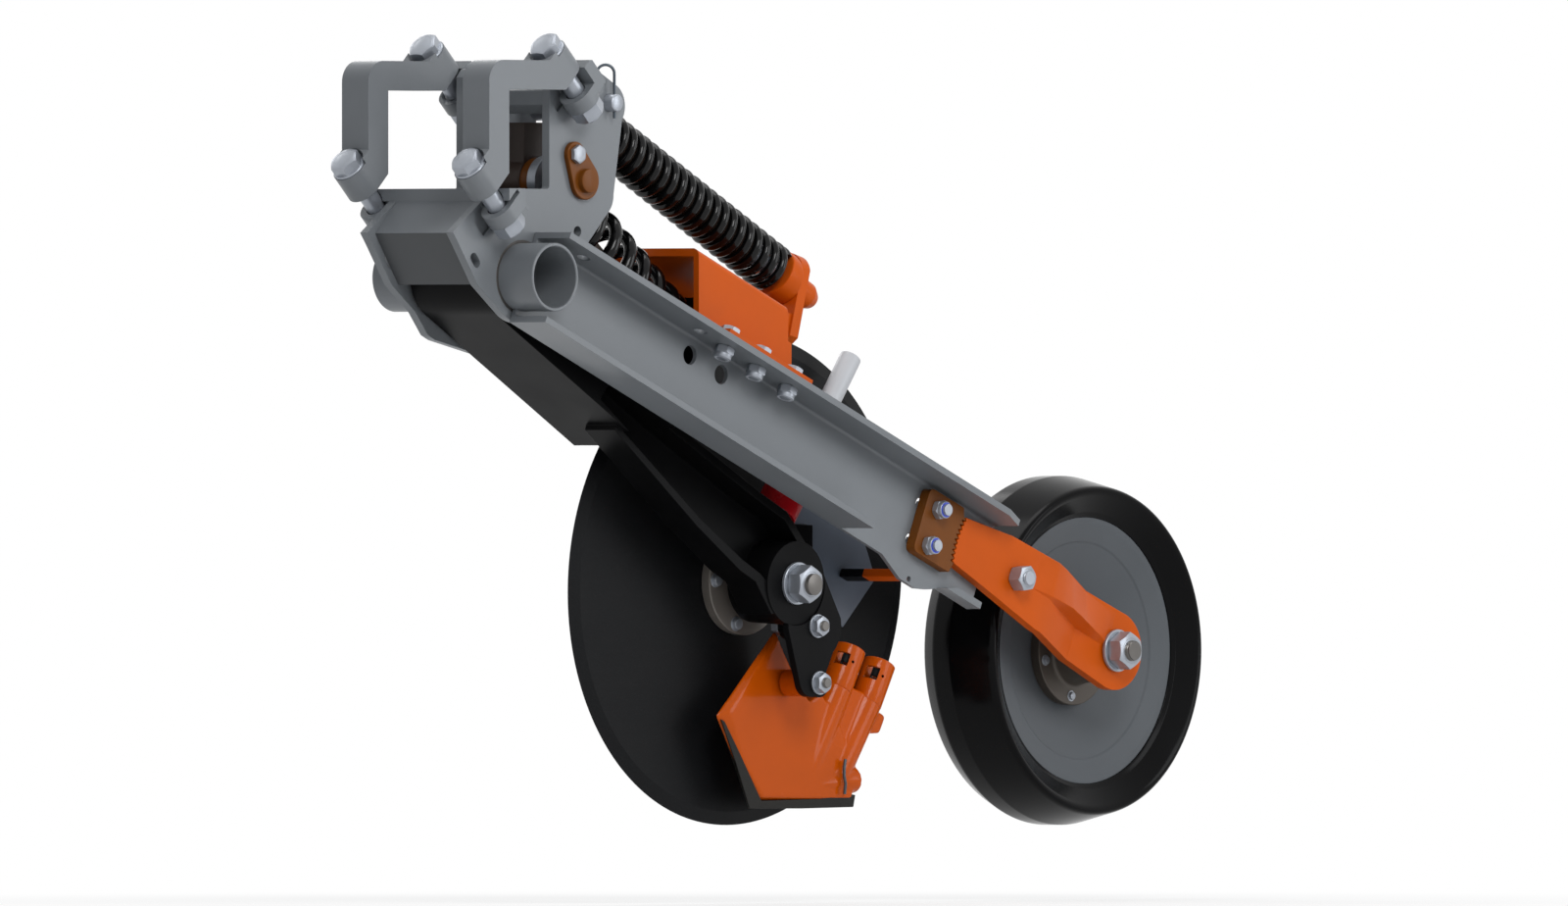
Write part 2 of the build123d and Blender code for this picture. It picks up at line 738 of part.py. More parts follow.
with BuildPart() as bridge_bracket:
    with BuildSketch(side_plane(bridge_far)):
        with BuildLine():
            Polyline(
                (bridge_front, bridge_top),
                (bridge_back, roof_z(bridge_back)),
                (bridge_back, roof_z(bridge_back) - 36),
                (bridge_back + 5, roof_z(bridge_back) - 39),
                (bridge_back + 5, flange_z(bridge_back + 5)),
                (bridge_front, flange_z(bridge_front)),
                close=True,
            )
        make_face()
    extrude(amount=bridge_near + bridge_far)
    roof_edges = [
        bridge_bracket.edges().sort_by_distance(
            ((bridge_front + bridge_back) / 2, y, roof_z((bridge_front + bridge_back) / 2))
        )[0]
        for y in (-bridge_near, bridge_far)
    ]
    fillet(roof_edges, bridge_wall)
    with BuildSketch(side_plane(bridge_far - bridge_wall)):
        with BuildLine():
            Polyline(
                (bridge_front - 5, roof_z(bridge_front - 5) - wall_skew),
                (bridge_back + 25, roof_z(bridge_back + 25) - wall_skew),
                (bridge_back + 25, -400),
                (bridge_front - 5, -400),
                close=True,
            )
        make_face()
    extrude(amount=bridge_far + bridge_near - 2 * bridge_wall, mode=Mode.SUBTRACT)
    with BuildSketch(side_plane(bridge_far + 1)):
        with BuildLine():
            Polyline(
                (bridge_front - 5, flange_z(bridge_front) + 12),
                (bridge_front + 60, roof_z(bridge_back) - 36),
                (bridge_back + 10, roof_z(bridge_back) - 36),
                (bridge_back + 10, -400),
                (bridge_front - 5, -400),
                close=True,
            )
        make_face()
    extrude(amount=bridge_wall + 2, mode=Mode.SUBTRACT)
    with BuildSketch(frame_plane(-bridge_near)):
        with Locations((bridge_bolts_along[1], half_height + bridge_wall / 2)):
            Rectangle(2 * bridge_bolt_pitch + 32, bridge_wall)
    extrude(amount=bridge_foot_width)
    with BuildSketch(frame_bolt_plane(0, bridge_bolt_y, half_height + bridge_wall)):
        for along in bridge_bolts_along:
            with Locations((0, along)):
                Circle(bridge_bolt / 2 + 1)
    extrude(amount=bridge_wall, mode=Mode.SUBTRACT)
    with BuildSketch(seat_plane(-seat_plate_thickness / 2)):
        with BuildLine():
            Line((-seat_plate_half_width, 14), (-seat_plate_half_width, -58))
            Line((-seat_plate_half_width, -58), (-seat_plate_half_width + 6, -64))
            Line((-seat_plate_half_width + 6, -64), (seat_plate_half_width - 6, -64))
            Line((seat_plate_half_width - 6, -64), (seat_plate_half_width, -58))
            Line((seat_plate_half_width, -58), (seat_plate_half_width, 14))
            ThreePointArc((seat_plate_half_width, 14), (0, 30), (-seat_plate_half_width, 14))
        make_face()
    extrude(amount=seat_plate_thickness)
    for y in (-rib_y + bridge_wall, rib_y):
        with BuildSketch(side_plane(y)):
            with BuildLine():
                Polyline(
                    (bridge_back - 34, roof_z(bridge_back - 34) - 2),
                    (bridge_back, roof_z(bridge_back) - 2),
                    (seat_centre.X + 8, seat_centre.Z - 34),
                    (seat_centre.X - 13, seat_centre.Z - 58),
                    (bridge_back, roof_z(bridge_back) - 33),
                    (bridge_back - 34, roof_z(bridge_back - 34) - 18),
                    close=True,
                )
            make_face()
        extrude(amount=bridge_wall)
    with BuildSketch(upper_plane(upper_seat_distance - 30)):
        Circle(seat_hole)
    extrude(amount=60, mode=Mode.SUBTRACT)
save(bridge_bracket, "bridge_bracket")

cup_face = upper_seat_distance - seat_cup_length
with BuildPart() as upper_spring_seat:
    add(ring(upper_plane(cup_face), upper_spring_diameter, 2 * seat_hole, 2 * seat_cup_length))
    split(bisect_by=seat_plane(-seat_plate_thickness / 2), keep=Keep.BOTTOM)
save(upper_spring_seat, "upper_spring_seat")

# Scraper: a bar across the disc, carried by the lug below the web, with a tip of its own
scraper_x, scraper_z = frame_point(scraper_along, scraper_up)
scraper_joint_y = -8.0
scraper_end_y = 24.0
with BuildPart() as scraper_bar:
    with BuildSketch(frame_plane(scraper_joint_y)):
        with Locations((scraper_along, scraper_up)):
            RectangleRounded(scraper_width, scraper_height, 1.5)
    extrude(amount=web_far + scraper_joint_y)
save(scraper_bar, "scraper_bar")
with BuildPart() as scraper_tip:
    with BuildSketch(frame_plane(scraper_end_y)):
        with Locations((scraper_along, scraper_up)):
            RectangleRounded(scraper_width, scraper_height, 1.5)
    extrude(amount=scraper_end_y - scraper_joint_y)
save(scraper_tip, "scraper_tip")

# Toothed lock: the arm carries an arc of teeth about its pivot, the sliding block the matching one
lock_front = lock_bolt_along - 19
block_half = 39.0


def tooth_line(depth_out, depth_in):
    """Zigzag of teeth on an arc about the arm pivot, from the bottom of the channel to its top."""
    points = []
    first = 180 + tooth_pitch * tooth_count / 2
    for i in range(2 * tooth_count + 1):
        angle = radians(first - i * tooth_pitch / 2)
        radius = tooth_radius + (depth_in if i % 2 == 0 else depth_out)
        points.append(
            (arm_pivot_along + radius * cos(angle), arm_pivot_up + radius * sin(angle))
        )
    return points


arm_teeth = tooth_line(tooth_depth / 2, -tooth_depth / 2)
block_teeth = tooth_line(tooth_depth / 2 + 2 * arm_gap, -tooth_depth / 2 + 2 * arm_gap)
with BuildPart() as lock_block:
    with BuildSketch(frame_plane(-arm_far)):
        with BuildLine():
            Polyline(
                *block_teeth,
                (block_teeth[-1][0] - 4, block_half),
                (lock_front + 8, block_half),
                (lock_front, block_half - 8),
                (lock_front, -block_half + 8),
                (lock_front + 8, -block_half),
                (block_teeth[0][0] - 4, -block_half),
                close=True,
            )
        make_face()
        for up in lock_bolts_up:
            with Locations((lock_bolt_along, up)):
                Circle(lock_bolt / 2 + running_clearance, mode=Mode.SUBTRACT)
    extrude(amount=arm_thickness)
save(lock_block, "lock_block")


def lock_bolt_plane(up):
    x, z = frame_point(lock_bolt_along, up)
    return Plane(origin=(x, -web_far + arm_gap, z), x_dir=(1, 0, 0), z_dir=(0, -1, 0))


with BuildPart() as lock_bolts:
    for up in lock_bolts_up:
        add(hex_bolt(lock_bolt_plane(up), lock_bolt, 18, 7.5, arm_near - web_far + arm_gap + 15))
save(lock_bolts, "lock_bolts")
with BuildPart() as lock_nuts:
    for up in lock_bolts_up:
        x, z = frame_point(lock_bolt_along, up)
        add(hex_nut(across_plane(x, -arm_near, z), lock_bolt, 18, 12))
save(lock_nuts, "lock_nuts")

# Wheel arm: a flat bar that steps inwards between its pivot and the axle of the press wheel
axle_along = arm_pivot_along + arm_reach
end_near = arm_near - arm_joggle
end_far = end_near - arm_thickness
step_start = arm_pivot_along + 56
step_end = axle_along - 66
rib_end = axle_along - axle_washer / 2 - 2
with BuildPart() as arm_rib:
    with BuildSketch(frame_plane(-end_far)):
        with BuildLine():
            Polyline(
                (step_start - 2, 2),
                (step_start + 46, -6),
                (rib_end, 1),
                (rib_end, arm_half_width - 3),
                (step_start + 64, arm_half_width),
                (step_start + 9, arm_half_width + 2),
                (step_start - 2, arm_half_width + 2),
                close=True,
            )
        make_face()
    extrude(amount=arm_near - end_far)
    with BuildSketch(channel_plan(-2 * arm_half_width)):
        with BuildLine():
            Polyline(
                (step_start - 2, -arm_near),
                (step_start + 46, -end_near - arm_rib_bulge),
                (rib_end, -end_near - 1.5),
                (rib_end, -end_near + 2),
                (step_end, -end_near + 2),
                (step_start, -arm_near + 3),
                (step_start - 2, -arm_near + 3),
                close=True,
            )
        make_face()
    extrude(amount=4 * arm_half_width, mode=Mode.INTERSECT)
with BuildPart() as wheel_arm:
    with BuildSketch(frame_plane(-end_far)):
        with BuildLine():
            Polyline(
                *arm_teeth,
                (arm_pivot_along - 21, arm_half_width - 2),
                (arm_pivot_along + 24, arm_half_width + 2),
                (arm_pivot_along + 60, arm_half_width + 4),
                (axle_along, arm_pivot_up + arm_half_width),
                (axle_along, arm_pivot_up - arm_half_width),
                (axle_along - 66, -arm_half_width + 6),
                (arm_pivot_along + 77, -arm_half_width + 4),
                (arm_pivot_along - 12, -arm_half_width + 11),
                close=True,
            )
        make_face()
        with Locations((axle_along, arm_pivot_up)):
            Circle(arm_half_width)
    extrude(amount=arm_near - end_far)
    with BuildSketch(channel_plan(-2 * arm_half_width)):
        with BuildLine():
            Polyline(
                (0, -arm_near),
                (step_start, -arm_near),
                (step_end, -end_near),
                (axle_along + 2 * arm_half_width, -end_near),
                (axle_along + 2 * arm_half_width, -end_far),
                (step_end, -end_far),
                (step_start, -arm_far),
                (0, -arm_far),
                close=True,
            )
        make_face()
    extrude(amount=4 * arm_half_width, mode=Mode.INTERSECT)
    add(arm_rib.part)
    with BuildSketch(frame_plane(0)):
        with Locations((arm_pivot_along, arm_pivot_up)):
            Circle(arm_pivot_bolt / 2 + running_clearance)
        with Locations((axle_along, arm_pivot_up)):
            Circle(axle_end / 2 + running_clearance)
    extrude(amount=2 * arm_near, mode=Mode.SUBTRACT)
save(wheel_arm, "wheel_arm")

arm_pivot_x, arm_pivot_z = frame_point(arm_pivot_along, arm_pivot_up)
with BuildPart() as frame_bolts:
    for along in bridge_bolts_along:
        add(
            hex_bolt(
                frame_bolt_plane(along, bridge_bolt_y, half_height + bridge_wall),
                bridge_bolt,
                18,
                7.5,
                bridge_wall + channel_flange + 16,
            )
        )
    add(
        hex_bolt(
            across_plane(arm_pivot_x, -web_far, arm_pivot_z),
            arm_pivot_bolt,
            24,
            10,
            arm_near + arm_gap - web_far + 19,
        )
    )
save(frame_bolts, "frame_bolts")
with BuildPart() as frame_nuts:
    for along in bridge_bolts_along:
        add(
            hex_nut(
                frame_bolt_plane(along, bridge_bolt_y, half_height - channel_flange), bridge_bolt, 18, 13
            )
        )
    add(
        hex_nut(
            across_plane(arm_pivot_x, -arm_near - arm_gap, arm_pivot_z), arm_pivot_bolt, 24, 16
        )
    )
save(frame_nuts, "frame_nuts")


def coil(plane_at, start, end, outer, wire, turns):
    """Round wire coil spring between two distances along a strut."""
    low = plane_at(start + wire / 2)
    height = end - start - wire
    with BuildPart() as spring:
        with BuildLine() as path:
            Helix(
                pitch=height / turns,
                height=height,
                radius=(outer - wire) / 2,
                center=tuple(low.origin),
                direction=tuple(low.z_dir),
            )
        with BuildSketch(Plane(origin=path.line @ 0, z_dir=path.line % 0)):
            RegularPolygon(wire / 2, 6)
        sweep(is_frenet=True)
    return spring.part


# Spring struts: an eye on its pin, a rod with a seat for the coil spring, and a nut behind the seat
eye_half = 34.0
seat_gap = 0.3
with BuildPart() as upper_rod_eye:
    with BuildSketch(across_plane(upper_pin_x, eye_half, upper_pin_z)):
        Circle(upper_pin / 2 + 9)
    extrude(amount=2 * eye_half)
    with BuildSketch(upper_plane(0)):
        Circle(upper_rod / 2)
    extrude(amount=upper_seat_distance + 44)
    with BuildSketch(upper_plane(upper_spring_start - 8)):
        Circle(upper_spring_diameter / 2)
    extrude(amount=8)
    with BuildSketch(across_plane(upper_pin_x, eye_half, upper_pin_z)):
        Circle(upper_pin / 2 + running_clearance)
    extrude(amount=2 * eye_half, mode=Mode.SUBTRACT)
save(upper_rod_eye, "upper_rod")
with BuildPart() as upper_guide_tube:
    add(
        ring(
            upper_plane(upper_spring_start),
            upper_guide,
            upper_rod,
            upper_seat_distance - seat_cup_length - upper_spring_start - 60,
        )
    )
save(upper_guide_tube, "upper_guide_tube")
with BuildPart() as upper_spring:
    add(
        coil(
            upper_plane,
            upper_spring_start + seat_gap,
            cup_face - seat_gap,
            upper_spring_diameter,
            upper_wire,
            upper_coils,
        )
    )
save(upper_spring, "upper_spring")
upper_nut_start = upper_seat_distance + seat_plate_thickness / 2 + 6
with BuildPart() as upper_rod_nut:
    with BuildSketch(upper_plane(upper_nut_start)):
        Circle(upper_rod / 2 + 5)
        Circle(upper_rod / 2, mode=Mode.SUBTRACT)
    extrude(amount=26)
    fillet(upper_rod_nut.edges().filter_by(GeomType.CIRCLE).sort_by(SortBy.RADIUS)[-1], 3)
save(upper_rod_nut, "upper_rod_nut")

bush_half = 40.0
with BuildPart() as lower_eye_bush:
    add(
        ring(
            across_plane(lower_pin_x, bush_half, lower_pin_z),
            lower_pin + 11,
            lower_pin + 2 * running_clearance,
            2 * bush_half,
        )
    )
save(lower_eye_bush, "lower_eye_bush")
with BuildPart() as lower_rod_eye:
    with BuildSketch(across_plane(lower_pin_x, eye_half, lower_pin_z)):
        Circle(lower_pin / 2 + 14)
    extrude(amount=2 * eye_half)
    with BuildSketch(side_plane(eye_half)):
        with BuildLine():
            Polyline(
                (lower_pin_x - 22, lower_pin_z - 8),
                (lower_pin_x - 33, lower_pin_z + 38),
                (lower_pin_x - 14, lower_pin_z + 58),
                (lower_pin_x + 4, lower_pin_z + 52),
                (lower_pin_x + 18, lower_pin_z + 12),
                close=True,
            )
        make_face()
    extrude(amount=2 * eye_half)
    with BuildSketch(lower_plane(0)):
        Circle(lower_rod / 2)
    extrude(amount=lower_seat_distance + lower_rod_tail)
    with BuildSketch(lower_plane(lower_spring_start - 8)):
        Circle(lower_spring_diameter / 2)
    extrude(amount=8)
    with BuildSketch(across_plane(lower_pin_x, eye_half, lower_pin_z)):
        Circle(lower_pin / 2 + 5.5 + running_clearance)
    extrude(amount=2 * eye_half, mode=Mode.SUBTRACT)
save(lower_rod_eye, "lower_rod")
lower_seat_face = lower_seat_distance - lower_seat_thickness / 2
with BuildPart() as lower_spring:
    add(
        coil(
            lower_plane,
            lower_spring_start + seat_gap,
            lower_seat_face - seat_gap,
            lower_spring_diameter,
            lower_wire,
            lower_coils,
        )
    )
save(lower_spring, "lower_spring")
with BuildPart() as lower_rod_nut:
    add(
        hex_nut(
            lower_plane(lower_seat_distance + lower_rod_tail - 24),
            lower_rod - 2 * running_clearance,
            24,
            15,
        )
    )
save(lower_rod_nut, "lower_rod_nut")


# Hubs of the press wheel and of the disc are the same: a flanged body on two bearings
def wheel_plane(w):
    """Plane across the press wheel axle, w from the near face of the arm towards the near side."""
    x, z = frame_point(axle_along, arm_pivot_up)
    toe = radians(wheel_toe)
    return Plane(
        origin=(x + w * sin(toe), -end_near - w * cos(toe), z),
        x_dir=(cos(toe), sin(toe), 0),
        z_dir=(sin(toe), -cos(toe), 0),
    )


def disc_plane(w):
    """Plane across the disc axle, w from the near face of the disc towards the near side."""
    lean = radians(disc_lean)
    return Plane(
        origin=(disc_x, disc_near_y - w * cos(lean), disc_z - w * sin(lean)),
        x_dir=(1, 0, 0),
        z_dir=(0, -cos(lean), -sin(lean)),
    )


cap_wall = 4.0
axle_head = 7.0


def hub(plane_at, flange_low, low, high, first_bolt):
    """Hub with its bolt flange, a closed cap at the low end and seats for a bearing at each end."""
    with BuildPart() as body:
        with BuildSketch(plane_at(low)):
            Circle(hub_body / 2)
        extrude(amount=high - low)
        with BuildSketch(plane_at(flange_low)):
            Circle(hub_flange / 2)
            with PolarLocations(hub_bolt_circle / 2, hub_bolt_count, start_angle=first_bolt):
                Circle(hub_bolt / 2 + running_clearance, mode=Mode.SUBTRACT)
        extrude(amount=hub_flange_thickness)
        chamfer(body.edges().filter_by(GeomType.CIRCLE).sort_by_distance(plane_at(low).origin)[0], 4)
        with BuildSketch(plane_at(low + cap_wall)):
            Circle(bearing_outer / 2)
        extrude(amount=axle_head + bearing_width + 1, mode=Mode.SUBTRACT)
        with BuildSketch(plane_at(high)):
            Circle(bearing_outer / 2)
        extrude(amount=-bearing_width, mode=Mode.SUBTRACT)
        with BuildSketch(plane_at(low + cap_wall)):
            Circle(bearing_outer / 2 - 5)
        extrude(amount=high - low, mode=Mode.SUBTRACT)
    return body.part


def bearings(plane_at, low, high):
    """Two bearings, one in each end of a hub."""
    with BuildPart() as pair:
        for start in (low + cap_wall + axle_head + 1, high - bearing_width):
            add(ring(plane_at(start), bearing_outer, axle + 2 * running_clearance, bearing_width))
    return pair.part


def stub_axle(plane_at, low, high, shoulder, outer):
    """Axle that is headed in the cap, shouldered at the arm and threaded at its outer end."""
    start = low + cap_wall + 0.5
    with BuildPart() as stub:
        with BuildSketch(plane_at(start)):
            Circle(axle / 2 + 5)
        extrude(amount=axle_head)
        with BuildSketch(plane_at(start)):
            Circle(axle / 2)
        extrude(amount=shoulder - start)
        with BuildSketch(plane_at(high + seat_gap)):
            Circle(axle / 2 + 5)
        extrude(amount=shoulder - high - seat_gap)
        with BuildSketch(plane_at(shoulder)):
            Circle(axle_end / 2)
        extrude(amount=outer + axle_washer_thickness + axle_nut_height + 5 - shoulder)
    return stub.part


def hub_bolts(plane_at, face, grip, first_bolt):
    """Ring of bolts, with heads on the near face of the hub flange."""
    with BuildPart() as bolts:
        for i in range(hub_bolt_count):
            angle = radians(first_bolt + i * 360 / hub_bolt_count)
            base = plane_at(face)
            spot = base.from_local_coords(
                (hub_bolt_circle / 2 * cos(angle), hub_bolt_circle / 2 * sin(angle), 0)
            )
            add(hex_bolt(Plane(origin=spot, x_dir=base.x_dir, z_dir=-base.z_dir), hub_bolt, 18, 7, grip))
    return bolts.part


# Press wheel: a tyre on two pressed rim halves that are bolted to the hub
wheel_hub_high = -28.0
wheel_hub_low = -110.0
wheel_flange_face = -55.6
wheel_flange_low = wheel_flange_face - hub_flange_thickness
rim_joint = wheel_flange_low - rim_thickness
wheel_centre = -wheel_setback
half_width = wheel_width / 2
rim_half_width = half_width - wheel_dish
wheel_first_bolt = 192.0


def wheel_profile_plane():
    """Plane through the wheel axle: its x is the distance along the axle, its y the radius."""
    base = wheel_plane(0)
    return Plane(origin=base.origin, x_dir=base.z_dir, z_dir=base.x_dir)


def rim_half(side):
    """Pressed rim half: a flat middle, a stepped dish and a lip under the edge of the tyre."""
    sheet = rim_thickness
    edge = wheel_centre + side * rim_half_width
    step = wheel_centre + side * 18
    with BuildPart() as half:
        with BuildSketch(wheel_profile_plane()):
            with BuildLine():
                Polyline(
                    (rim_joint, hub_body / 2 + 0.5),
                    (rim_joint + side * sheet, hub_body / 2 + 0.5),
                    (rim_joint + side * sheet, 72),
                    (step, 84),
                    (step, wheel_rim_radius - 22),
                    (edge, wheel_rim_radius - 12),
                    (edge, wheel_rim_radius),
                    (edge - side * sheet, wheel_rim_radius),
                    (edge - side * sheet, wheel_rim_radius - 10),
                    (step - side * sheet, wheel_rim_radius - 19),
                    (step - side * sheet, 86),
                    (rim_joint, 75),
                    close=True,
                )
            make_face()
        revolve(axis=Axis(wheel_plane(0).origin, wheel_plane(0).z_dir))
        with BuildSketch(wheel_plane(rim_joint)):
            with PolarLocations(hub_bolt_circle / 2, hub_bolt_count, start_angle=wheel_first_bolt):
                Circle(hub_bolt / 2 + running_clearance)
        extrude(amount=side * sheet, mode=Mode.SUBTRACT)
    return half.part


with BuildPart() as tyre:
    with BuildSketch(wheel_profile_plane()) as section:
        with BuildLine():
            Polyline(
                (wheel_centre + rim_half_width, wheel_rim_radius),
                (wheel_centre + half_width, wheel_lip_radius),
                (wheel_centre - 3, wheel_radius),
                (wheel_centre - 25.5, wheel_radius),
                (wheel_centre - half_width, wheel_lip_radius),
                (wheel_centre - rim_half_width, wheel_rim_radius),
                close=True,
            )
        make_face()
        lips = section.vertices().sort_by(Axis.Y)[2:4]
        fillet(lips, 6)
        with BuildLine():
            Polyline(
                (wheel_centre + 16, wheel_rim_radius - 1),
                (wheel_centre + 34, wheel_lip_radius - 5),
                (wheel_centre - 3, wheel_radius - 9),
                (wheel_centre - 25, wheel_radius - 9),
                (wheel_centre - 34, wheel_lip_radius - 5),
                (wheel_centre - 16, wheel_rim_radius - 1),
                close=True,
            )
        make_face(mode=Mode.SUBTRACT)
    revolve(axis=Axis(wheel_plane(0).origin, wheel_plane(0).z_dir))
save(tyre, "press_tyre")
with BuildPart() as rim_near:
    add(rim_half(1))
save(rim_near, "rim_near")
with BuildPart() as rim_far:
    add(rim_half(-1))
save(rim_far, "rim_far")
with BuildPart() as wheel_hub:
    add(hub(wheel_plane, wheel_flange_low, wheel_hub_low, wheel_hub_high, wheel_first_bolt))
save(wheel_hub, "wheel_hub")
with BuildPart() as wheel_bearings:
    add(bearings(wheel_plane, wheel_hub_low, wheel_hub_high))
save(wheel_bearings, "wheel_bearings")
with BuildPart() as wheel_bolts:
    add(
        hub_bolts(
            wheel_plane, wheel_flange_face, hub_flange_thickness + 2 * rim_thickness + 8, wheel_first_bolt
        )
    )
save(wheel_bolts, "wheel_bolts")
with BuildPart() as wheel_axle:
    add(stub_axle(wheel_plane, wheel_hub_low, wheel_hub_high, -arm_thickness, 0))
    add(wheel_arm.part, mode=Mode.SUBTRACT)
save(wheel_axle, "wheel_axle")
with BuildPart() as wheel_axle_washer:
    add(ring(wheel_plane(0.9), axle_washer, axle_end + 0.2, axle_washer_thickness))
save(wheel_axle_washer, "wheel_axle_washer")
with BuildPart() as wheel_axle_nut:
    add(
        hex_nut(wheel_plane(axle_washer_thickness + 0.9), axle_end, axle_nut_across, axle_nut_height - 1)
    )
save(wheel_axle_nut, "wheel_axle_nut")

# Disc: a flat blade with a ground edge, bolted to its hub from the near side
disc_hub_high = hub_flange_thickness
disc_hub_low = -45.0
disc_first_bolt = 180.0
disc_radius = disc_diameter / 2
with BuildPart() as disc_blade:
    with BuildSketch(Plane(origin=disc_plane(0).origin, x_dir=disc_plane(0).z_dir, z_dir=(1, 0, 0))):
        with BuildLine():
            Polyline(
                (0, hub_body / 2 + running_clearance),
                (0, disc_radius - disc_edge_bevel),
                (-disc_thickness + 1, disc_radius),
                (-disc_thickness, disc_radius),
                (-disc_thickness, hub_body / 2 + running_clearance),
                close=True,
            )
        make_face()
    revolve(axis=Axis(disc_plane(0).origin, disc_plane(0).z_dir))
    with BuildSketch(disc_plane(-disc_thickness)):
        with PolarLocations(hub_bolt_circle / 2, hub_bolt_count, start_angle=disc_first_bolt):
            Circle(hub_bolt / 2 + running_clearance)
    extrude(amount=disc_thickness, mode=Mode.SUBTRACT)
save(disc_blade, "disc_blade")
with BuildPart() as disc_hub:
    add(hub(disc_plane, 0, disc_hub_low, disc_hub_high, disc_first_bolt))
save(disc_hub, "disc_hub")
with BuildPart() as disc_bearings:
    add(bearings(disc_plane, disc_hub_low, disc_hub_high))
save(disc_bearings, "disc_bearings")
with BuildPart() as disc_bolts:
    add(
        hub_bolts(
            disc_plane, hub_flange_thickness, hub_flange_thickness + disc_thickness + 10, disc_first_bolt
        )
    )
save(disc_bolts, "disc_bolts")

# Disc arm: a box between the side plates that narrows to a channel, with a boss at each end
boss_start = 24.0
lug_x = disc_x + 65.5


def pivot_edge(angle):
    return (
        pivot_x + pivot_boss_radius * cos(radians(angle)),
        pivot_z + pivot_boss_radius * sin(radians(angle)),
    )


box_end = (pivot_x + 226, pivot_z - 125.6)
box_low = (pivot_x + 203, pivot_z - 172)
tail_end = (pivot_x + 253, pivot_z - 147)
neck_high = (disc_x - 53, disc_z + 90.5)
neck_low = (disc_x - 83, disc_z + 10)
neck_toe = (disc_x - 59, disc_z - 2)


box_points = [
    pivot_edge(52),
    (box_end[0], box_end[1]),
    (box_low[0], box_low[1]),
    pivot_edge(-123),
    (pivot_x, pivot_z),
]
channel_points = [
    (box_end[0] - 40, box_end[1] + 28),
    tail_end,
    neck_high,
    (disc_x - 11, disc_z + 70),
    (disc_x + 32, disc_z + 22),
    (disc_x, disc_z - 30),
    (disc_x - 34.7, disc_z - 35.5),
    neck_toe,
    neck_low,
    (disc_x - 148, disc_z + 55.4),
    (box_low[0] - 38, box_low[1] + 16),
]
with BuildPart() as disc_arm:
    with BuildSketch(side_plane(disc_arm_half_width)):
        with BuildLine():
            Polyline(*box_points, close=True)
        make_face()
    extrude(amount=2 * disc_arm_half_width)
    with BuildSketch(side_plane(disc_arm_half_width - disc_arm_plate)):
        with BuildLine():
            Polyline(
                (box_points[0][0] - 2, box_points[0][1] - 12),
                (box_end[0] + 30, box_end[1] - 27),
                (box_low[0] + 40, box_low[1] - 16),
                (box_points[3][0] + 8, box_points[3][1] + 6),
                close=True,
            )
        make_face()
    extrude(amount=2 * (disc_arm_half_width - disc_arm_plate), mode=Mode.SUBTRACT)
    for y in (disc_arm_half_width, -disc_arm_half_width + disc_arm_plate):
        with BuildSketch(side_plane(y)):
            with BuildLine():
                Polyline(
                    (box_end[0] - 30, box_end[1] + 15),
                    box_end,
                    tail_end,
                    (tail_end[0] - 12, tail_end[1] - 17),
                    box_low,
                    (box_low[0] - 20, box_low[1] + 18),
                    close=True,
                )
            make_face()
        extrude(amount=disc_arm_plate)
    with BuildSketch(side_plane(0)):
        with BuildLine():
            Polyline(*channel_points, close=True)
        make_face()
    extrude(amount=disc_arm_channel_near)
    with BuildSketch(side_plane(-disc_arm_plate)):
        with BuildLine():
            Polyline(
                (channel_points[0][0] - 30, channel_points[0][1] - 2),
                (tail_end[0] - 5, tail_end[1] - 8),
                (neck_high[0] - 4, neck_high[1] - 8),
                (disc_x - 14, disc_z + 61),
                (disc_x + 20, disc_z + 20),
                (disc_x - 20, disc_z - 20),
                (neck_toe[0] + 8, neck_toe[1] + 8),
                (neck_low[0] + 4, neck_low[1] + 11),
                (disc_x - 144, disc_z + 64),
                (channel_points[10][0] - 30, channel_points[10][1] + 32),
                close=True,
            )
        make_face()
    extrude(amount=disc_arm_channel_near, mode=Mode.SUBTRACT)
    with BuildSketch(disc_plane(boss_start)):
        Circle(disc_boss_radius)
    extrude(amount=disc_axle_reach - boss_start)
    with BuildSketch(side_plane(0)):
        with BuildLine():
            Polyline(
                (disc_x + 25, disc_z + 58),
                (lug_x, disc_z + 56),
                (lug_x, disc_z + 21),
                (disc_x + 25, disc_z + 2),
                close=True,
            )
        make_face()
    extrude(amount=disc_arm_plate)
    with BuildSketch(across_plane(pivot_x, disc_arm_half_width, pivot_z)):
        Circle(pivot_boss_radius)
    extrude(amount=2 * disc_arm_half_width)
    with BuildSketch(across_plane(pivot_x, disc_arm_half_width, pivot_z)):
        Circle(bush_outer)
    extrude(amount=2 * disc_arm_half_width, mode=Mode.SUBTRACT)
    with BuildSketch(disc_plane(boss_start)):
        Circle(axle_end / 2 + running_clearance)
    extrude(amount=disc_axle_reach - boss_start + 10, mode=Mode.SUBTRACT)
save(disc_arm, "disc_arm")
with BuildPart() as disc_arm_bush:
    add(
        ring(
            across_plane(pivot_x, disc_arm_half_width, pivot_z),
            2 * bush_outer,
            2 * bush_inner,
            2 * disc_arm_half_width,
        )
    )
save(disc_arm_bush, "disc_arm_bush")

# Seat of the lower spring: a plate across the strut on two gussets that stand on the arm
seat_reach = lower_spring_diameter / 2 + 2
lower_seat_hole = lower_rod / 2 + lower_seat_clearance


def lower_seat_point(distance, up):
    """X and Z of a point given along the lower strut and at right angles to it, upwards."""
    slope = radians(lower_slope)
    return (
        lower_pin_x + distance * cos(slope) + up * sin(slope),
        lower_pin_z - distance * sin(slope) + up * cos(slope),
    )


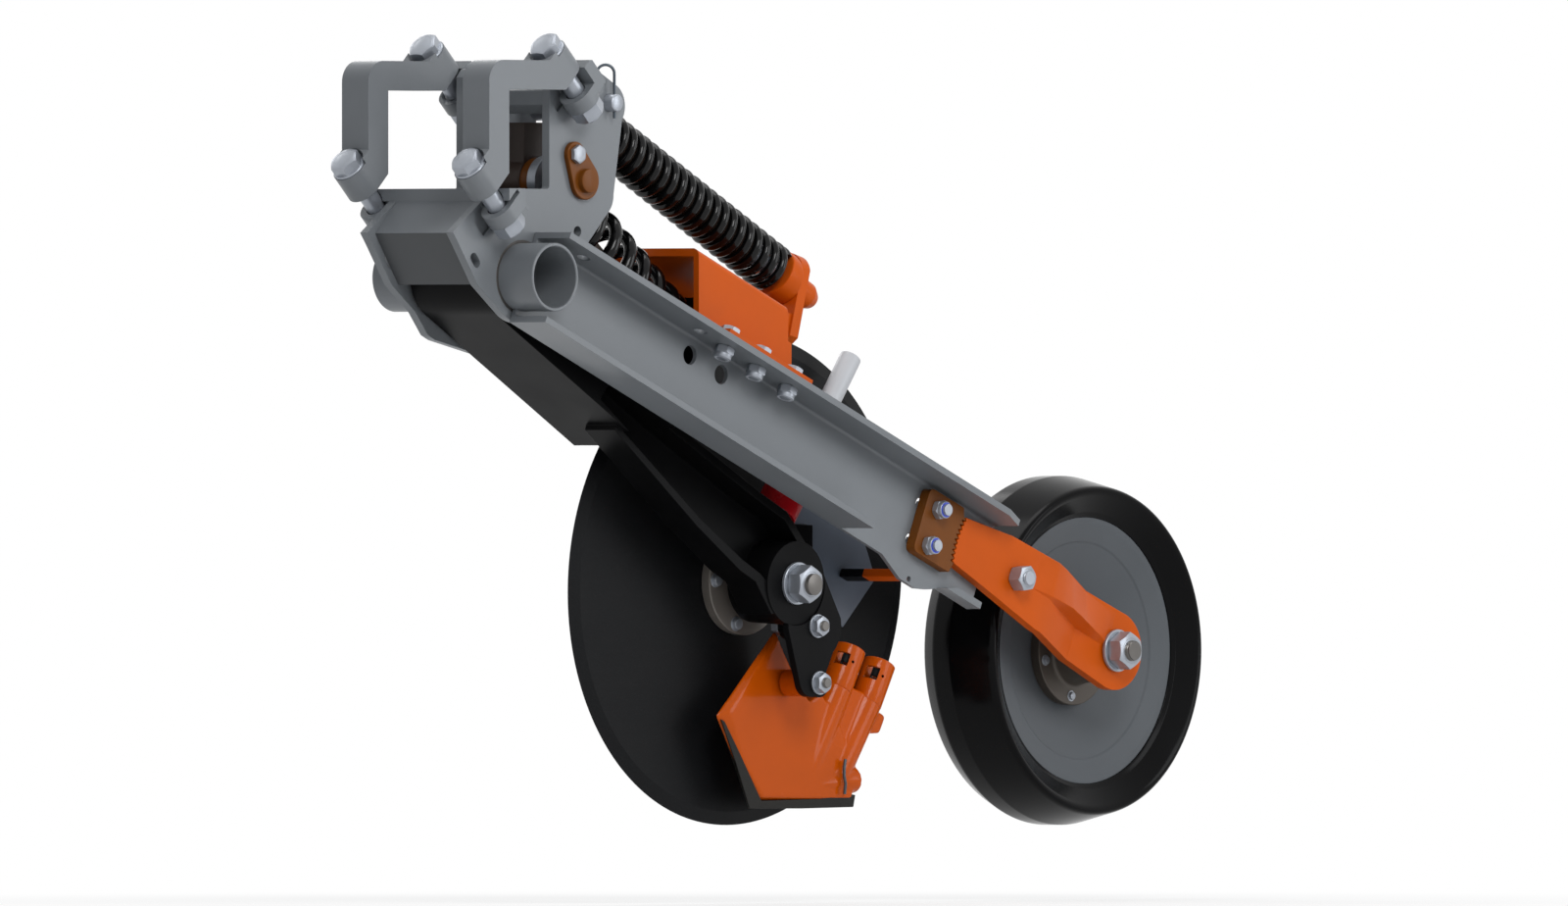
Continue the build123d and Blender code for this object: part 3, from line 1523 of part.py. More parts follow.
seat_back = lower_seat_face + lower_seat_thickness
with BuildPart() as lower_spring_seat:
    with BuildSketch(lower_plane(lower_seat_face)):
        Rectangle(2 * disc_arm_half_width, 2 * seat_reach)
        Circle(lower_seat_hole, mode=Mode.SUBTRACT)
    extrude(amount=lower_seat_thickness)
    for y in (disc_arm_half_width, -disc_arm_half_width + disc_arm_plate):
        with BuildSketch(side_plane(y)):
            with BuildLine():
                Polyline(
                    lower_seat_point(seat_back, seat_reach),
                    lower_seat_point(seat_back + 12, seat_reach - 6),
                    (tail_end[0] + 10, tail_end[1] + 32),
                    (tail_end[0] - 2, tail_end[1] - 2),
                    (box_end[0] - 34, box_end[1] + 20),
                    lower_seat_point(lower_seat_face, -seat_reach),
                    lower_seat_point(lower_seat_face, seat_reach),
                    close=True,
                )
            make_face()
        extrude(amount=disc_arm_plate)
    add(disc_arm.part, mode=Mode.SUBTRACT)
save(lower_spring_seat, "lower_spring_seat")

with BuildPart() as disc_axle:
    add(stub_axle(disc_plane, disc_hub_low, disc_hub_high, boss_start, disc_axle_reach))
save(disc_axle, "disc_axle")
with BuildPart() as disc_axle_washer:
    add(ring(disc_plane(disc_axle_reach), axle_washer, axle_end + 0.2, axle_washer_thickness))
save(disc_axle_washer, "disc_axle_washer")
with BuildPart() as disc_axle_nut:
    add(
        hex_nut(
            disc_plane(disc_axle_reach + axle_washer_thickness),
            axle_end,
            axle_nut_across,
            axle_nut_height,
        )
    )
save(disc_axle_nut, "disc_axle_nut")

# Post with its sleeve on top of the arm, and the guard plate beside the disc
post_y = -8.0
post_base = (disc_x - 0.7, disc_z + 57)


def post_plane(distance):
    lean = radians(post_lean)
    return Plane(
        origin=(post_base[0] + distance * sin(lean), post_y, post_base[1] + distance * cos(lean)),
        x_dir=(0, 1, 0),
        z_dir=(sin(lean), 0, cos(lean)),
    )


with BuildPart() as arm_post:
    with BuildSketch(post_plane(-post_diameter)):
        Circle(post_diameter / 2)
    extrude(amount=post_height + post_diameter)
    with BuildSketch(post_plane(-post_diameter)):
        Circle(post_foot_diameter / 2)
    extrude(amount=post_foot_height + post_diameter)
    with BuildSketch(side_plane(post_diameter)):
        with BuildLine():
            Polyline(*channel_points, close=True)
        make_face()
    extrude(amount=3 * post_diameter, mode=Mode.SUBTRACT)
save(arm_post, "arm_post")
with BuildPart() as post_sleeve:
    add(ring(post_plane(12), sleeve_diameter, post_foot_diameter, sleeve_height))
    with BuildSketch(side_plane(sleeve_diameter)):
        with BuildLine():
            Polyline(*channel_points, close=True)
        make_face()
    extrude(amount=2 * sleeve_diameter, mode=Mode.SUBTRACT)
    add(disc_arm.part, mode=Mode.SUBTRACT)
save(post_sleeve, "post_sleeve")

guard_y = 29.0
with BuildPart() as guard_plate:
    with BuildSketch(side_plane(guard_y)):
        with BuildLine():
            Polyline(
                (lug_x - 6, disc_z + 56),
                (disc_x + 85, disc_z + 83),
                (disc_x + 178, disc_z + 45),
                (disc_x + 187, disc_z + 28),
                (disc_x + 199, disc_z),
                (disc_x + 149, disc_z - 50),
                (lug_x - 6, disc_z + 10),
                close=True,
            )
        make_face()
    extrude(amount=guard_thickness)
    with BuildSketch(side_plane(guard_y)):
        with BuildLine():
            Polyline(
                (lug_x - 6, disc_z + 56),
                (lug_x, disc_z + 58),
                (lug_x, disc_z + 21),
                (lug_x - 6, disc_z + 21),
                close=True,
            )
        make_face()
    extrude(amount=guard_y)
save(guard_plate, "guard_plate")

# Seed boot: a moulded shield and foot behind the disc edge, with two inlets that lean to the rear
boot_bolt_high = (disc_x + 32, disc_z - 48)
boot_bolt_low = (disc_x + 35, disc_z - 106.6)
boot_face = boot_centre_y - boot_half_thickness
bracket_near = boot_bracket_near
bracket_far = boot_bracket_near - boot_bracket_thickness
with BuildPart() as boot_bracket:
    with BuildSketch(side_plane(-bracket_far)):
        with BuildLine():
            Line((disc_x + 31, disc_z + 24), (disc_x - 12, disc_z - 20))
            Line((disc_x - 12, disc_z - 20), (disc_x - 12, disc_z - 50.6))
            Line((disc_x - 12, disc_z - 50.6), (disc_x + 6, disc_z - 109))
            ThreePointArc(
                (disc_x + 6, disc_z - 109), (disc_x + 21, disc_z - 121), (disc_x + 35, disc_z - 116)
            )
            Line((disc_x + 35, disc_z - 116), (disc_x + 56, disc_z - 75))
            ThreePointArc(
                (disc_x + 56, disc_z - 75), (disc_x + 67, disc_z - 58), (disc_x + 68, disc_z - 40)
            )
            Line((disc_x + 68, disc_z - 40), (disc_x + 31, disc_z + 24))
        make_face()
        for spot in (boot_bolt_high, boot_bolt_low):
            with Locations(spot):
                Circle(boot_bolt + 3)
        for spot in (boot_bolt_high, boot_bolt_low):
            with Locations(spot):
                Circle(boot_bolt / 2 + 0.5, mode=Mode.SUBTRACT)
    extrude(amount=boot_bracket_thickness)
    with BuildSketch(side_plane(boot_face)):
        for spot in (boot_bolt_high, boot_bolt_low):
            with Locations(spot):
                Circle(boot_bolt + 2)
                Circle(boot_bolt / 2 + 0.5, mode=Mode.SUBTRACT)
    extrude(amount=bracket_far + boot_face)
    with BuildSketch(disc_plane(-5)):
        Circle(disc_boss_radius + 0.01)
    extrude(amount=disc_axle_reach + 40, mode=Mode.SUBTRACT)
    add(disc_arm.part, mode=Mode.SUBTRACT)
save(boot_bracket, "boot_bracket")

# The boot lies behind the lower rear edge of the disc; its outline is set out from the disc axle
boot_back = boot_centre_y + boot_half_thickness
boot_nut_seat = boot_face + 4
inlet_tops = [(disc_x + 144.3, disc_z - 72), (disc_x + 189.9, disc_z - 87)]
inlet_length = 108.0
shield_points = [
    (disc_x + 23.6, disc_z - 52.6),
    (disc_x - 70.6, disc_z - 142.2),
    (disc_x - 65.4, disc_z - 146),
    (disc_x - 34.5, disc_z - 198.5),
    (disc_x - 3.8, disc_z - 229.6),
    (disc_x + 139.4, disc_z - 228.4),
    (disc_x + 146.9, disc_z - 209.2),
    (disc_x + 140.8, disc_z - 198.5),
    (disc_x + 181, disc_z - 122),
    (disc_x + 100, disc_z - 124),
    (disc_x + 72, disc_z - 128),
]


def inlet_plane(top, distance):
    """Plane across a seed inlet, at a distance above its top; the inlet leans to the rear."""
    lean = radians(inlet_lean)
    return Plane(
        origin=(top[0] + distance * sin(lean), boot_centre_y, top[1] + distance * cos(lean)),
        x_dir=(0, 1, 0),
        z_dir=(sin(lean), 0, cos(lean)),
    )


with BuildPart() as seed_boot:
    with BuildSketch(side_plane(boot_back)):
        with BuildLine():
            Polyline(*shield_points, close=True)
        make_face()
        for spot in (boot_bolt_high, boot_bolt_low):
            with Locations(spot):
                Circle(boot_bolt + 2)
    extrude(amount=2 * boot_half_thickness)
    front_edges = [
        seed_boot.edges().sort_by_distance((x, boot_face, z))[0]
        for x, z in (
            (disc_x - 23, disc_z - 97),
            (disc_x - 50, disc_z - 172),
            (disc_x - 19, disc_z - 214),
        )
    ]
    chamfer(front_edges, 5)
    for top in inlet_tops:
        with BuildSketch(inlet_plane(top, -inlet_length)):
            Circle(inlet_outer / 2)
        extrude(amount=inlet_length)
    with BuildSketch(side_plane(boot_centre_y + 6)):
        with BuildLine():
            Polyline(
                (disc_x + 170, disc_z - 160),
                (disc_x + 185, disc_z - 159.5),
                (disc_x + 195, disc_z - 143),
                (disc_x + 189, disc_z - 139),
                (disc_x + 175, disc_z - 135),
                close=True,
            )
        make_face()
    extrude(amount=12)
    for top in inlet_tops:
        with BuildSketch(inlet_plane(top, 0)):
            Circle(inlet_bore / 2)
        extrude(amount=-inlet_depth, mode=Mode.SUBTRACT)
        window = inlet_plane(top, -18).origin
        with BuildSketch(Plane(origin=(window.X, 0, window.Z), x_dir=(1, 0, -0.53), z_dir=(0, -1, 0))):
            RectangleRounded(13, 12, 2)
        extrude(amount=inlet_outer, mode=Mode.SUBTRACT)
    for spot in (boot_bolt_high, boot_bolt_low):
        with BuildSketch(side_plane(boot_back)):
            with Locations(spot):
                Circle(boot_bolt / 2 + 0.5)
        extrude(amount=2 * boot_half_thickness, mode=Mode.SUBTRACT)
        with BuildSketch(side_plane(boot_back)):
            with Locations(spot):
                Circle(boot_bolt)
        extrude(amount=boot_back - boot_nut_seat, mode=Mode.SUBTRACT)
    with BuildSketch(disc_plane(boss_start)):
        Circle(hub_flange / 2 + 3)
    extrude(amount=-boss_start - disc_thickness, mode=Mode.SUBTRACT)
    add(disc_arm.part, mode=Mode.SUBTRACT)
save(seed_boot, "seed_boot")
with BuildPart() as boot_bolts:
    for x, z in (boot_bolt_high, boot_bolt_low):
        add(
            hex_bolt(
                near_bolt_plane(x, -bracket_near, z), boot_bolt, 18, 8, bracket_near + boot_nut_seat + 11
            )
        )
save(boot_bolts, "boot_bolts")
with BuildPart() as boot_nuts:
    for x, z in (boot_bolt_high, boot_bolt_low):
        add(hex_nut(near_bolt_plane(x, boot_nut_seat, z), boot_bolt, 18, 10))
save(boot_nuts, "boot_nuts")
with BuildPart() as wear_shoe:
    with BuildSketch(side_plane(boot_back)):
        with BuildLine():
            Polyline(
                (disc_x - 69.5, disc_z - 146),
                (disc_x - 25, disc_z - 235.5),
                (disc_x + 40, disc_z - 237),
                (disc_x + 138.7, disc_z - 234.5),
                (disc_x + 132, disc_z - 223.3),
                (disc_x + 76, disc_z - 225),
                (disc_x, disc_z - 220),
                (disc_x - 55, disc_z - 146),
                close=True,
            )
        make_face()
    extrude(amount=2 * boot_half_thickness)
    add(seed_boot.part, mode=Mode.SUBTRACT)
save(wear_shoe, "wear_shoe")
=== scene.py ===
from math import cos, pi, radians, sin, tan

import bmesh
import bpy
from mathutils import Matrix, Vector


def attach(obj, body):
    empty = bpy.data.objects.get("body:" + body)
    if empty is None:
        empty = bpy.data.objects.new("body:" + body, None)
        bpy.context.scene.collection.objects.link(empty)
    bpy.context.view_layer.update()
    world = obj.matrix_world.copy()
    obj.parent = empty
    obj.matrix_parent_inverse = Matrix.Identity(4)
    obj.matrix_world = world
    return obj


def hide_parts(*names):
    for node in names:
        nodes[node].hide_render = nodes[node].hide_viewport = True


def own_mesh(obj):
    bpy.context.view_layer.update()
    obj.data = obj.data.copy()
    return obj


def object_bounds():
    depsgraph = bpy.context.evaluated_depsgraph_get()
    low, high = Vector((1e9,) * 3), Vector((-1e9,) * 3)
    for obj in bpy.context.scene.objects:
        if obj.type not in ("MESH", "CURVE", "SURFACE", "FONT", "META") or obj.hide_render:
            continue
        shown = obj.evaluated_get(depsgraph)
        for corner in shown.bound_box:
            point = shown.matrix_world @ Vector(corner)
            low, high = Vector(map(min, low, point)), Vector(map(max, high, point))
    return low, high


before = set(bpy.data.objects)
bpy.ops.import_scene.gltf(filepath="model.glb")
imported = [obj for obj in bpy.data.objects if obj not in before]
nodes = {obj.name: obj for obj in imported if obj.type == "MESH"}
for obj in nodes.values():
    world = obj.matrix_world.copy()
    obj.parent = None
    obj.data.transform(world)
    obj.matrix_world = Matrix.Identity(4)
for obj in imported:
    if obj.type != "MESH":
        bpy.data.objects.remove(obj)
cad_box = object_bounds()

# Sizes are in millimetres and angles in degrees; MM turns them into Blender's metres.
MM = 0.001

# Places of the mechanism, the same as in the part
PIVOT = (9.0, 0.0, -141.0)
FRAME_SLOPE = 23.0
UPPER_PIN = (141.0, 0.0, 38.0)
UPPER_SLOPE = 28.1
LOWER_PIN = (100.0, 0.0, -42.0)
LOWER_SLOPE = 38.8
DISC_CENTRE = (446.7, 36.0, -451.0)
DISC_LEAN = 2.75
DISC_RADIUS = 254.0
WHEEL_TOE = 2.18
WHEEL_SETBACK = 69.5
ARM_PIVOT_ALONG = 796.0
AXLE_ALONG = 989.5
ARM_UP = 2.0
ARM_NEAR = 83.3
END_NEAR = 60.3
HUB_CIRCLE = 95.0


# Places and directions
def place(origin, z_axis, x_hint=(1, 0, 0)):
    """Matrix whose z runs along z_axis and whose x is as near as can be to x_hint."""
    z = Vector(z_axis).normalized()
    x = (Vector(x_hint) - z * z.dot(Vector(x_hint))).normalized()
    y = z.cross(x)
    turn = Matrix((x, y, z)).transposed().to_4x4()
    return Matrix.Translation(Vector(origin) * MM) @ turn


def frame_point(along, y, up):
    """A point given along the channel of the press frame, across it and above its middle."""
    slope = radians(FRAME_SLOPE)
    return (
        PIVOT[0] + along * cos(slope) + up * sin(slope),
        y,
        PIVOT[2] - along * sin(slope) + up * cos(slope),
    )


def frame_place(along, y, up):
    """Across the press frame: z points to the near side and x runs along the channel."""
    slope = radians(FRAME_SLOPE)
    return place(frame_point(along, y, up), (0, -1, 0), (cos(slope), 0, -sin(slope)))


def strut_place(pin, slope, distance):
    """Along a spring strut, z pointing away from its pin."""
    run, drop = cos(radians(slope)), sin(radians(slope))
    origin = (pin[0] + distance * run, 0, pin[2] - distance * drop)
    return place(origin, (run, 0, -drop), (0, 1, 0))


def wheel_place(distance):
    """On the axle of the press wheel, z pointing to the near side."""
    toe = radians(WHEEL_TOE)
    x, y, z = frame_point(AXLE_ALONG, -END_NEAR, ARM_UP)
    origin = (x + distance * sin(toe), y - distance * cos(toe), z)
    return place(origin, (sin(toe), -cos(toe), 0), (cos(toe), sin(toe), 0))


def disc_place(distance):
    """On the axle of the disc, z pointing to the near side."""
    lean = radians(DISC_LEAN)
    x, y, z = DISC_CENTRE
    origin = (x, y - distance * cos(lean), z - distance * sin(lean))
    return place(origin, (0, -cos(lean), -sin(lean)), (1, 0, 0))


# Mesh making
def ring_of(bm, where, spots):
    """Vertices at spots given in a place's own millimetres."""
    return [bm.verts.new(where @ (Vector(spot) * MM)) for spot in spots]


def skin(bm, rings, mat=0, caps=2):
    """Walls between neighbouring rings, of which some may be one point, and faces over the ends."""
    count = max(len(ring) for ring in rings)
    for low, high in zip(rings, rings[1:]):
        for i in range(count):
            j = (i + 1) % count
            corners = (low[i % len(low)], low[j % len(low)], high[j % len(high)], high[i % len(high)])
            bm.faces.new(list(dict.fromkeys(corners))).material_index = mat
    for cap in (rings[-1], rings[0][::-1])[:caps]:
        bm.faces.new(cap).material_index = mat


def lathe(bm, where, profile, segments=64, closed=False, mat=0):
    """Turns a profile of (distance along z, radius) pairs about z."""
    rings = []
    for z, radius in profile:
        angles = [2 * pi * i / segments for i in range(segments if radius > 1e-4 else 1)]
        rings.append(ring_of(bm, where, [(radius * cos(a), radius * sin(a), z) for a in angles]))
    skin(bm, rings + rings[:1] if closed else rings, mat, caps=0)


def bar(radius, length):
    """Profile of a closed cylinder."""
    return [(0, 0), (0, radius), (length, radius), (length, 0)]


def hexagon(bm, where, across, height, low_chamfer=False, mat=0):
    """Forged hexagon whose top corners, and if wanted its bottom ones, are turned to a cone."""
    crown = across / 2 * 0.96
    rings = [[], [], [], []]
    for i in range(48):
        angle = pi * i / 24
        radius = across / 2 / cos(angle % (pi / 3) - pi / 6)
        fall = (radius - crown) * tan(radians(30))
        low = ((crown, 0), (radius, fall)) if low_chamfer else ((radius, 0), (radius, 0.01))
        for ring, (r, z) in zip(rings, (*low, (radius, height - fall), (crown, height))):
            ring += ring_of(bm, where, [(r * cos(angle + pi / 6), r * sin(angle + pi / 6), z)])
    skin(bm, rings, mat)


def thread(bm, where, diameter, pitch, length, mat=0):
    """Threaded end: a helical V groove that fades out, with a chamfered tip at the top."""
    around = 28
    rows = max(6, int(length / pitch * 5))
    depth = pitch * 0.5
    rings = []
    for row in range(rows + 1):
        z = length * row / rows
        fade = min(1.0, (length - z) / pitch)
        spots = []
        for i in range(around):
            turn = i / around
            wave = abs(((z / pitch - turn) % 1.0) * 2 - 1)
            radius = diameter / 2 - depth * wave * fade - (1 - fade) * depth
            spots.append((radius * cos(2 * pi * turn), radius * sin(2 * pi * turn), z))
        rings.append(ring_of(bm, where, spots))
    skin(bm, rings, mat, caps=1)


def coil(bm, where, outer, wire, length, turns):
    """Round wire coil with a closed and ground turn at each end, from z = 0 to z = length."""
    around, per_turn = 12, 40
    radius = (outer - wire) / 2
    rise = wire * 0.94
    total = turns + 2
    steps = int(total * per_turn)
    rings = []
    for step in range(steps + 1):
        turn = total * step / steps
        inner = min(max(turn - 1, 0), turns)
        height = wire / 2 + (turn - inner) * rise + inner * (length - wire - 2 * rise) / turns
        out = Vector((cos(2 * pi * turn), sin(2 * pi * turn), 0))
        thin = min(1.0, 0.45 + 1.4 * min(turn, total - turn))
        spots = []
        for i in range(around):
            phi = 2 * pi * i / around
            lift = sin(phi) * wire / 2
            if turn < 0.5:
                lift = max(lift, -wire / 2 * thin)
            if total - turn < 0.5:
                lift = min(lift, wire / 2 * thin)
            spots.append(out * (radius + cos(phi) * wire / 2) + Vector((0, 0, height + lift)))
        rings.append(ring_of(bm, where, spots))
    skin(bm, rings)


def sweep(bm, points, radius_at, around=12):
    """Round bar along points; radius_at gives the radius from a point's number."""
    points = [Vector(p) for p in points]
    rings = []
    side = None
    for i, point in enumerate(points):
        along = (points[min(i + 1, len(points) - 1)] - points[max(i - 1, 0)]).normalized()
        if side is None:
            side = along.orthogonal().normalized()
        side = (side - along * along.dot(side)).normalized()
        other = along.cross(side)
        angles = [2 * pi * k / around for k in range(around)]
        spots = [point + (side * cos(a) + other * sin(a)) * radius_at(i) for a in angles]
        rings.append(ring_of(bm, Matrix(), spots))
    skin(bm, rings)


def weld_bead(bm, points, radius):
    """Weld seam: a rounded bead with the ripples of the pool."""
    points = [Vector(p) for p in points]
    fine = []
    for a, b in zip(points, points[1:]):
        count = max(2, int((b - a).length / 1.1))
        fine += [a.lerp(b, k / count) for k in range(count)]
    fine.append(points[-1])
    ends = (0, len(fine) - 1)
    sweep(bm, fine, lambda i: radius * (1 + 0.14 * sin(i * 2.4)) * (0.55 if i in ends else 1), 8)


def loft(bm, where, layers):
    """Closed body through outlines that have the same number of points, given as (height, outline)."""
    skin(bm, [ring_of(bm, where, [(x, y, z) for x, y in outline]) for z, outline in layers])


def prism(bm, where, outline, low, high):
    """Outline of (x, y) pairs in a place's own plane, raised along its z from low to high."""
    loft(bm, where, [(low, outline), (high, outline)])


# Objects
def add_object(name, data):
    made = bpy.data.objects.new(name, data)
    bpy.context.scene.collection.objects.link(made)
    return made


def loose(bm, name):
    """A helper object that isn't a piece yet."""
    mesh = bpy.data.meshes.new(name)
    bmesh.ops.recalc_face_normals(bm, faces=bm.faces)
    bm.to_mesh(mesh)
    bm.free()
    return add_object(name, mesh)


def solid(make, *sizes):
    """A helper object from one call of a mesh function."""
    bm = bmesh.new()
    make(bm, *sizes)
    return loose(bm, "helper")


def apply_modifiers(piece):
    graph = bpy.context.evaluated_depsgraph_get()
    graph.update()
    mesh = bpy.data.meshes.new_from_object(piece.evaluated_get(graph))
    piece.modifiers.clear()
    piece.data = mesh


def boolean(piece, cutters, operation="DIFFERENCE"):
    """Applies a boolean with each cutter and removes the cutters."""
    for cutter in cutters:
        change = piece.modifiers.new("cut", "BOOLEAN")
        change.operation = operation
        change.solver = "EXACT"
        change.object = cutter
        apply_modifiers(piece)
    for cutter in cutters:
        bpy.data.objects.remove(cutter)


def smooth_shade(mesh, sharp):
    """Smooth faces, with edges above the sharp angle kept crisp."""
    bm = bmesh.new()
    bm.from_mesh(mesh)
    bmesh.ops.recalc_face_normals(bm, faces=bm.faces)
    for face in bm.faces:
        face.smooth = True
    for edge in bm.edges:
        if len(edge.link_faces) == 2:
            edge.smooth = edge.calc_face_angle(0) < radians(sharp)
    bm.to_mesh(mesh)
    bm.free()


def dress(piece, body, mats, replaced="", sharp=34):
    """Gives an object its finishes and makes it a piece that rides on a body of the frame."""
    smooth_shade(piece.data, sharp)
    for mat in mats.split():
        piece.data.materials.append(MATERIALS[mat])
    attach(piece, body)
    if replaced:
        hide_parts(*replaced.split())
    return piece


def finish_piece(bm, name, body, mats, replaced=None, sharp=34, bevel=0.0):
    """Turns a mesh under construction into a piece; without replaced it stands for the node of its name."""
    if replaced is None:
        name, replaced = name + "_shape", name
    mesh = bpy.data.meshes.new(name)
    bm.to_mesh(mesh)
    bm.free()
    piece = add_object(name, mesh)
    if bevel:
        edges = piece.modifiers.new("rounded edges", "BEVEL")
        edges.width = bevel * MM
        edges.segments = 3
        edges.limit_method = "ANGLE"
        edges.angle_limit = radians(32)
        edges.harden_normals = True
        edges.use_clamp_overlap = True
    return dress(piece, body, mats, replaced, sharp)


def soften(node, body, mat, width, cuts=(), joins=()):
    """A copy of a plain CAD node with its flat faces joined up, its edges rounded and shapes cut or joined."""
    bm = bmesh.new()
    bm.from_mesh(nodes[node].data)
    bmesh.ops.remove_doubles(bm, verts=bm.verts, dist=0.00002)
    bmesh.ops.dissolve_limit(
        bm, angle_limit=radians(0.5), verts=bm.verts, edges=bm.edges, use_dissolve_boundaries=False
    )
    if cuts or joins:
        base = loose(bm, node + "_base")
        boolean(base, joins, "UNION")
        boolean(base, cuts)
        bm = bmesh.new()
        bm.from_mesh(base.data)
        bpy.data.objects.remove(base)
    return finish_piece(bm, node, body, mat, bevel=width)


# Materials
def add_node(tree, kind, **inputs):
    """New shader node whose inputs are set to values or linked to sockets; _ stands for a space."""
    made = tree.nodes.new("ShaderNode" + kind)
    for name, value in inputs.items():
        entry = made.inputs[name.replace("_", " ")]
        if isinstance(value, bpy.types.NodeSocket):
            tree.links.new(value, entry)
        else:
            entry.default_value = value
    return made


def add_ramp(tree, share, low, high, start, end):
    """Blends from one colour to another between two values."""
    ramp = add_node(tree, "ValToRGB", Fac=share)
    for stop, position, colour in zip(ramp.color_ramp.elements, (start, end), (low, high)):
        stop.position = position
        stop.color = (*colour, 1)
    return ramp.outputs["Color"]


def linear(colour):
    """Linear colour of a screen colour given as 0 to 255."""
    shares = [value / 255 for value in colour]
    return [c / 12.92 if c <= 0.04045 else ((c + 0.055) / 1.055) ** 2.4 for c in shares]


def make_material(name, colour, roughness, metallic=0.0, coat=0.0, spread=0.12, cloud=14.0,
                  grain=900.0, bump=0.04, specular=0.5, speck=0.0):
    """Painted, plated or moulded surface: colour clouds, a fine grain and rounded edges."""
    mat = bpy.data.materials.new(name)
    mat.use_nodes = True
    tree = mat.node_tree
    link = tree.links.new
    shader = tree.nodes["Principled BSDF"]
    where = add_node(tree, "TexCoord").outputs["Object"]
    clouds = add_node(tree, "TexNoise", Vector=where, Scale=cloud, Detail=5.0).outputs["Fac"]
    fine = add_node(tree, "TexNoise", Vector=where, Scale=grain, Detail=3.0).outputs["Fac"]
    dark, light = [c * (1 - spread) for c in colour], [min(1, c * (1 + spread)) for c in colour]
    base = add_ramp(tree, clouds, dark, light, 0.3, 0.7)
    if speck:
        flecks = add_ramp(tree, fine, (0, 0, 0), (speck, speck, speck), 0.52, 0.72)
        mix = add_node(tree, "Mix")
        mix.data_type = "RGBA"
        mix.blend_type = "ADD"
        mix.inputs["Factor"].default_value = 1.0
        link(base, mix.inputs["A"])
        link(flecks, mix.inputs["B"])
        base = mix.outputs["Result"]
    link(base, shader.inputs["Base Color"])
    rough = add_node(tree, "MapRange", Value=clouds, From_Min=0.3, From_Max=0.7,
                     To_Min=max(0.03, roughness - 0.05), To_Max=roughness + 0.06)
    link(rough.outputs["Result"], shader.inputs["Roughness"])
    edge = add_node(tree, "Bevel", Radius=0.6 * MM)
    edge.samples = 4
    relief = add_node(tree, "Bump", Strength=bump, Distance=0.0004, Height=fine, Normal=edge.outputs["Normal"])
    link(relief.outputs["Normal"], shader.inputs["Normal"])
    shader.inputs["Metallic"].default_value = metallic
    shader.inputs["Coat Weight"].default_value = coat
    shader.inputs["Coat Roughness"].default_value = 0.08
    shader.inputs["Specular IOR Level"].default_value = specular
    return mat


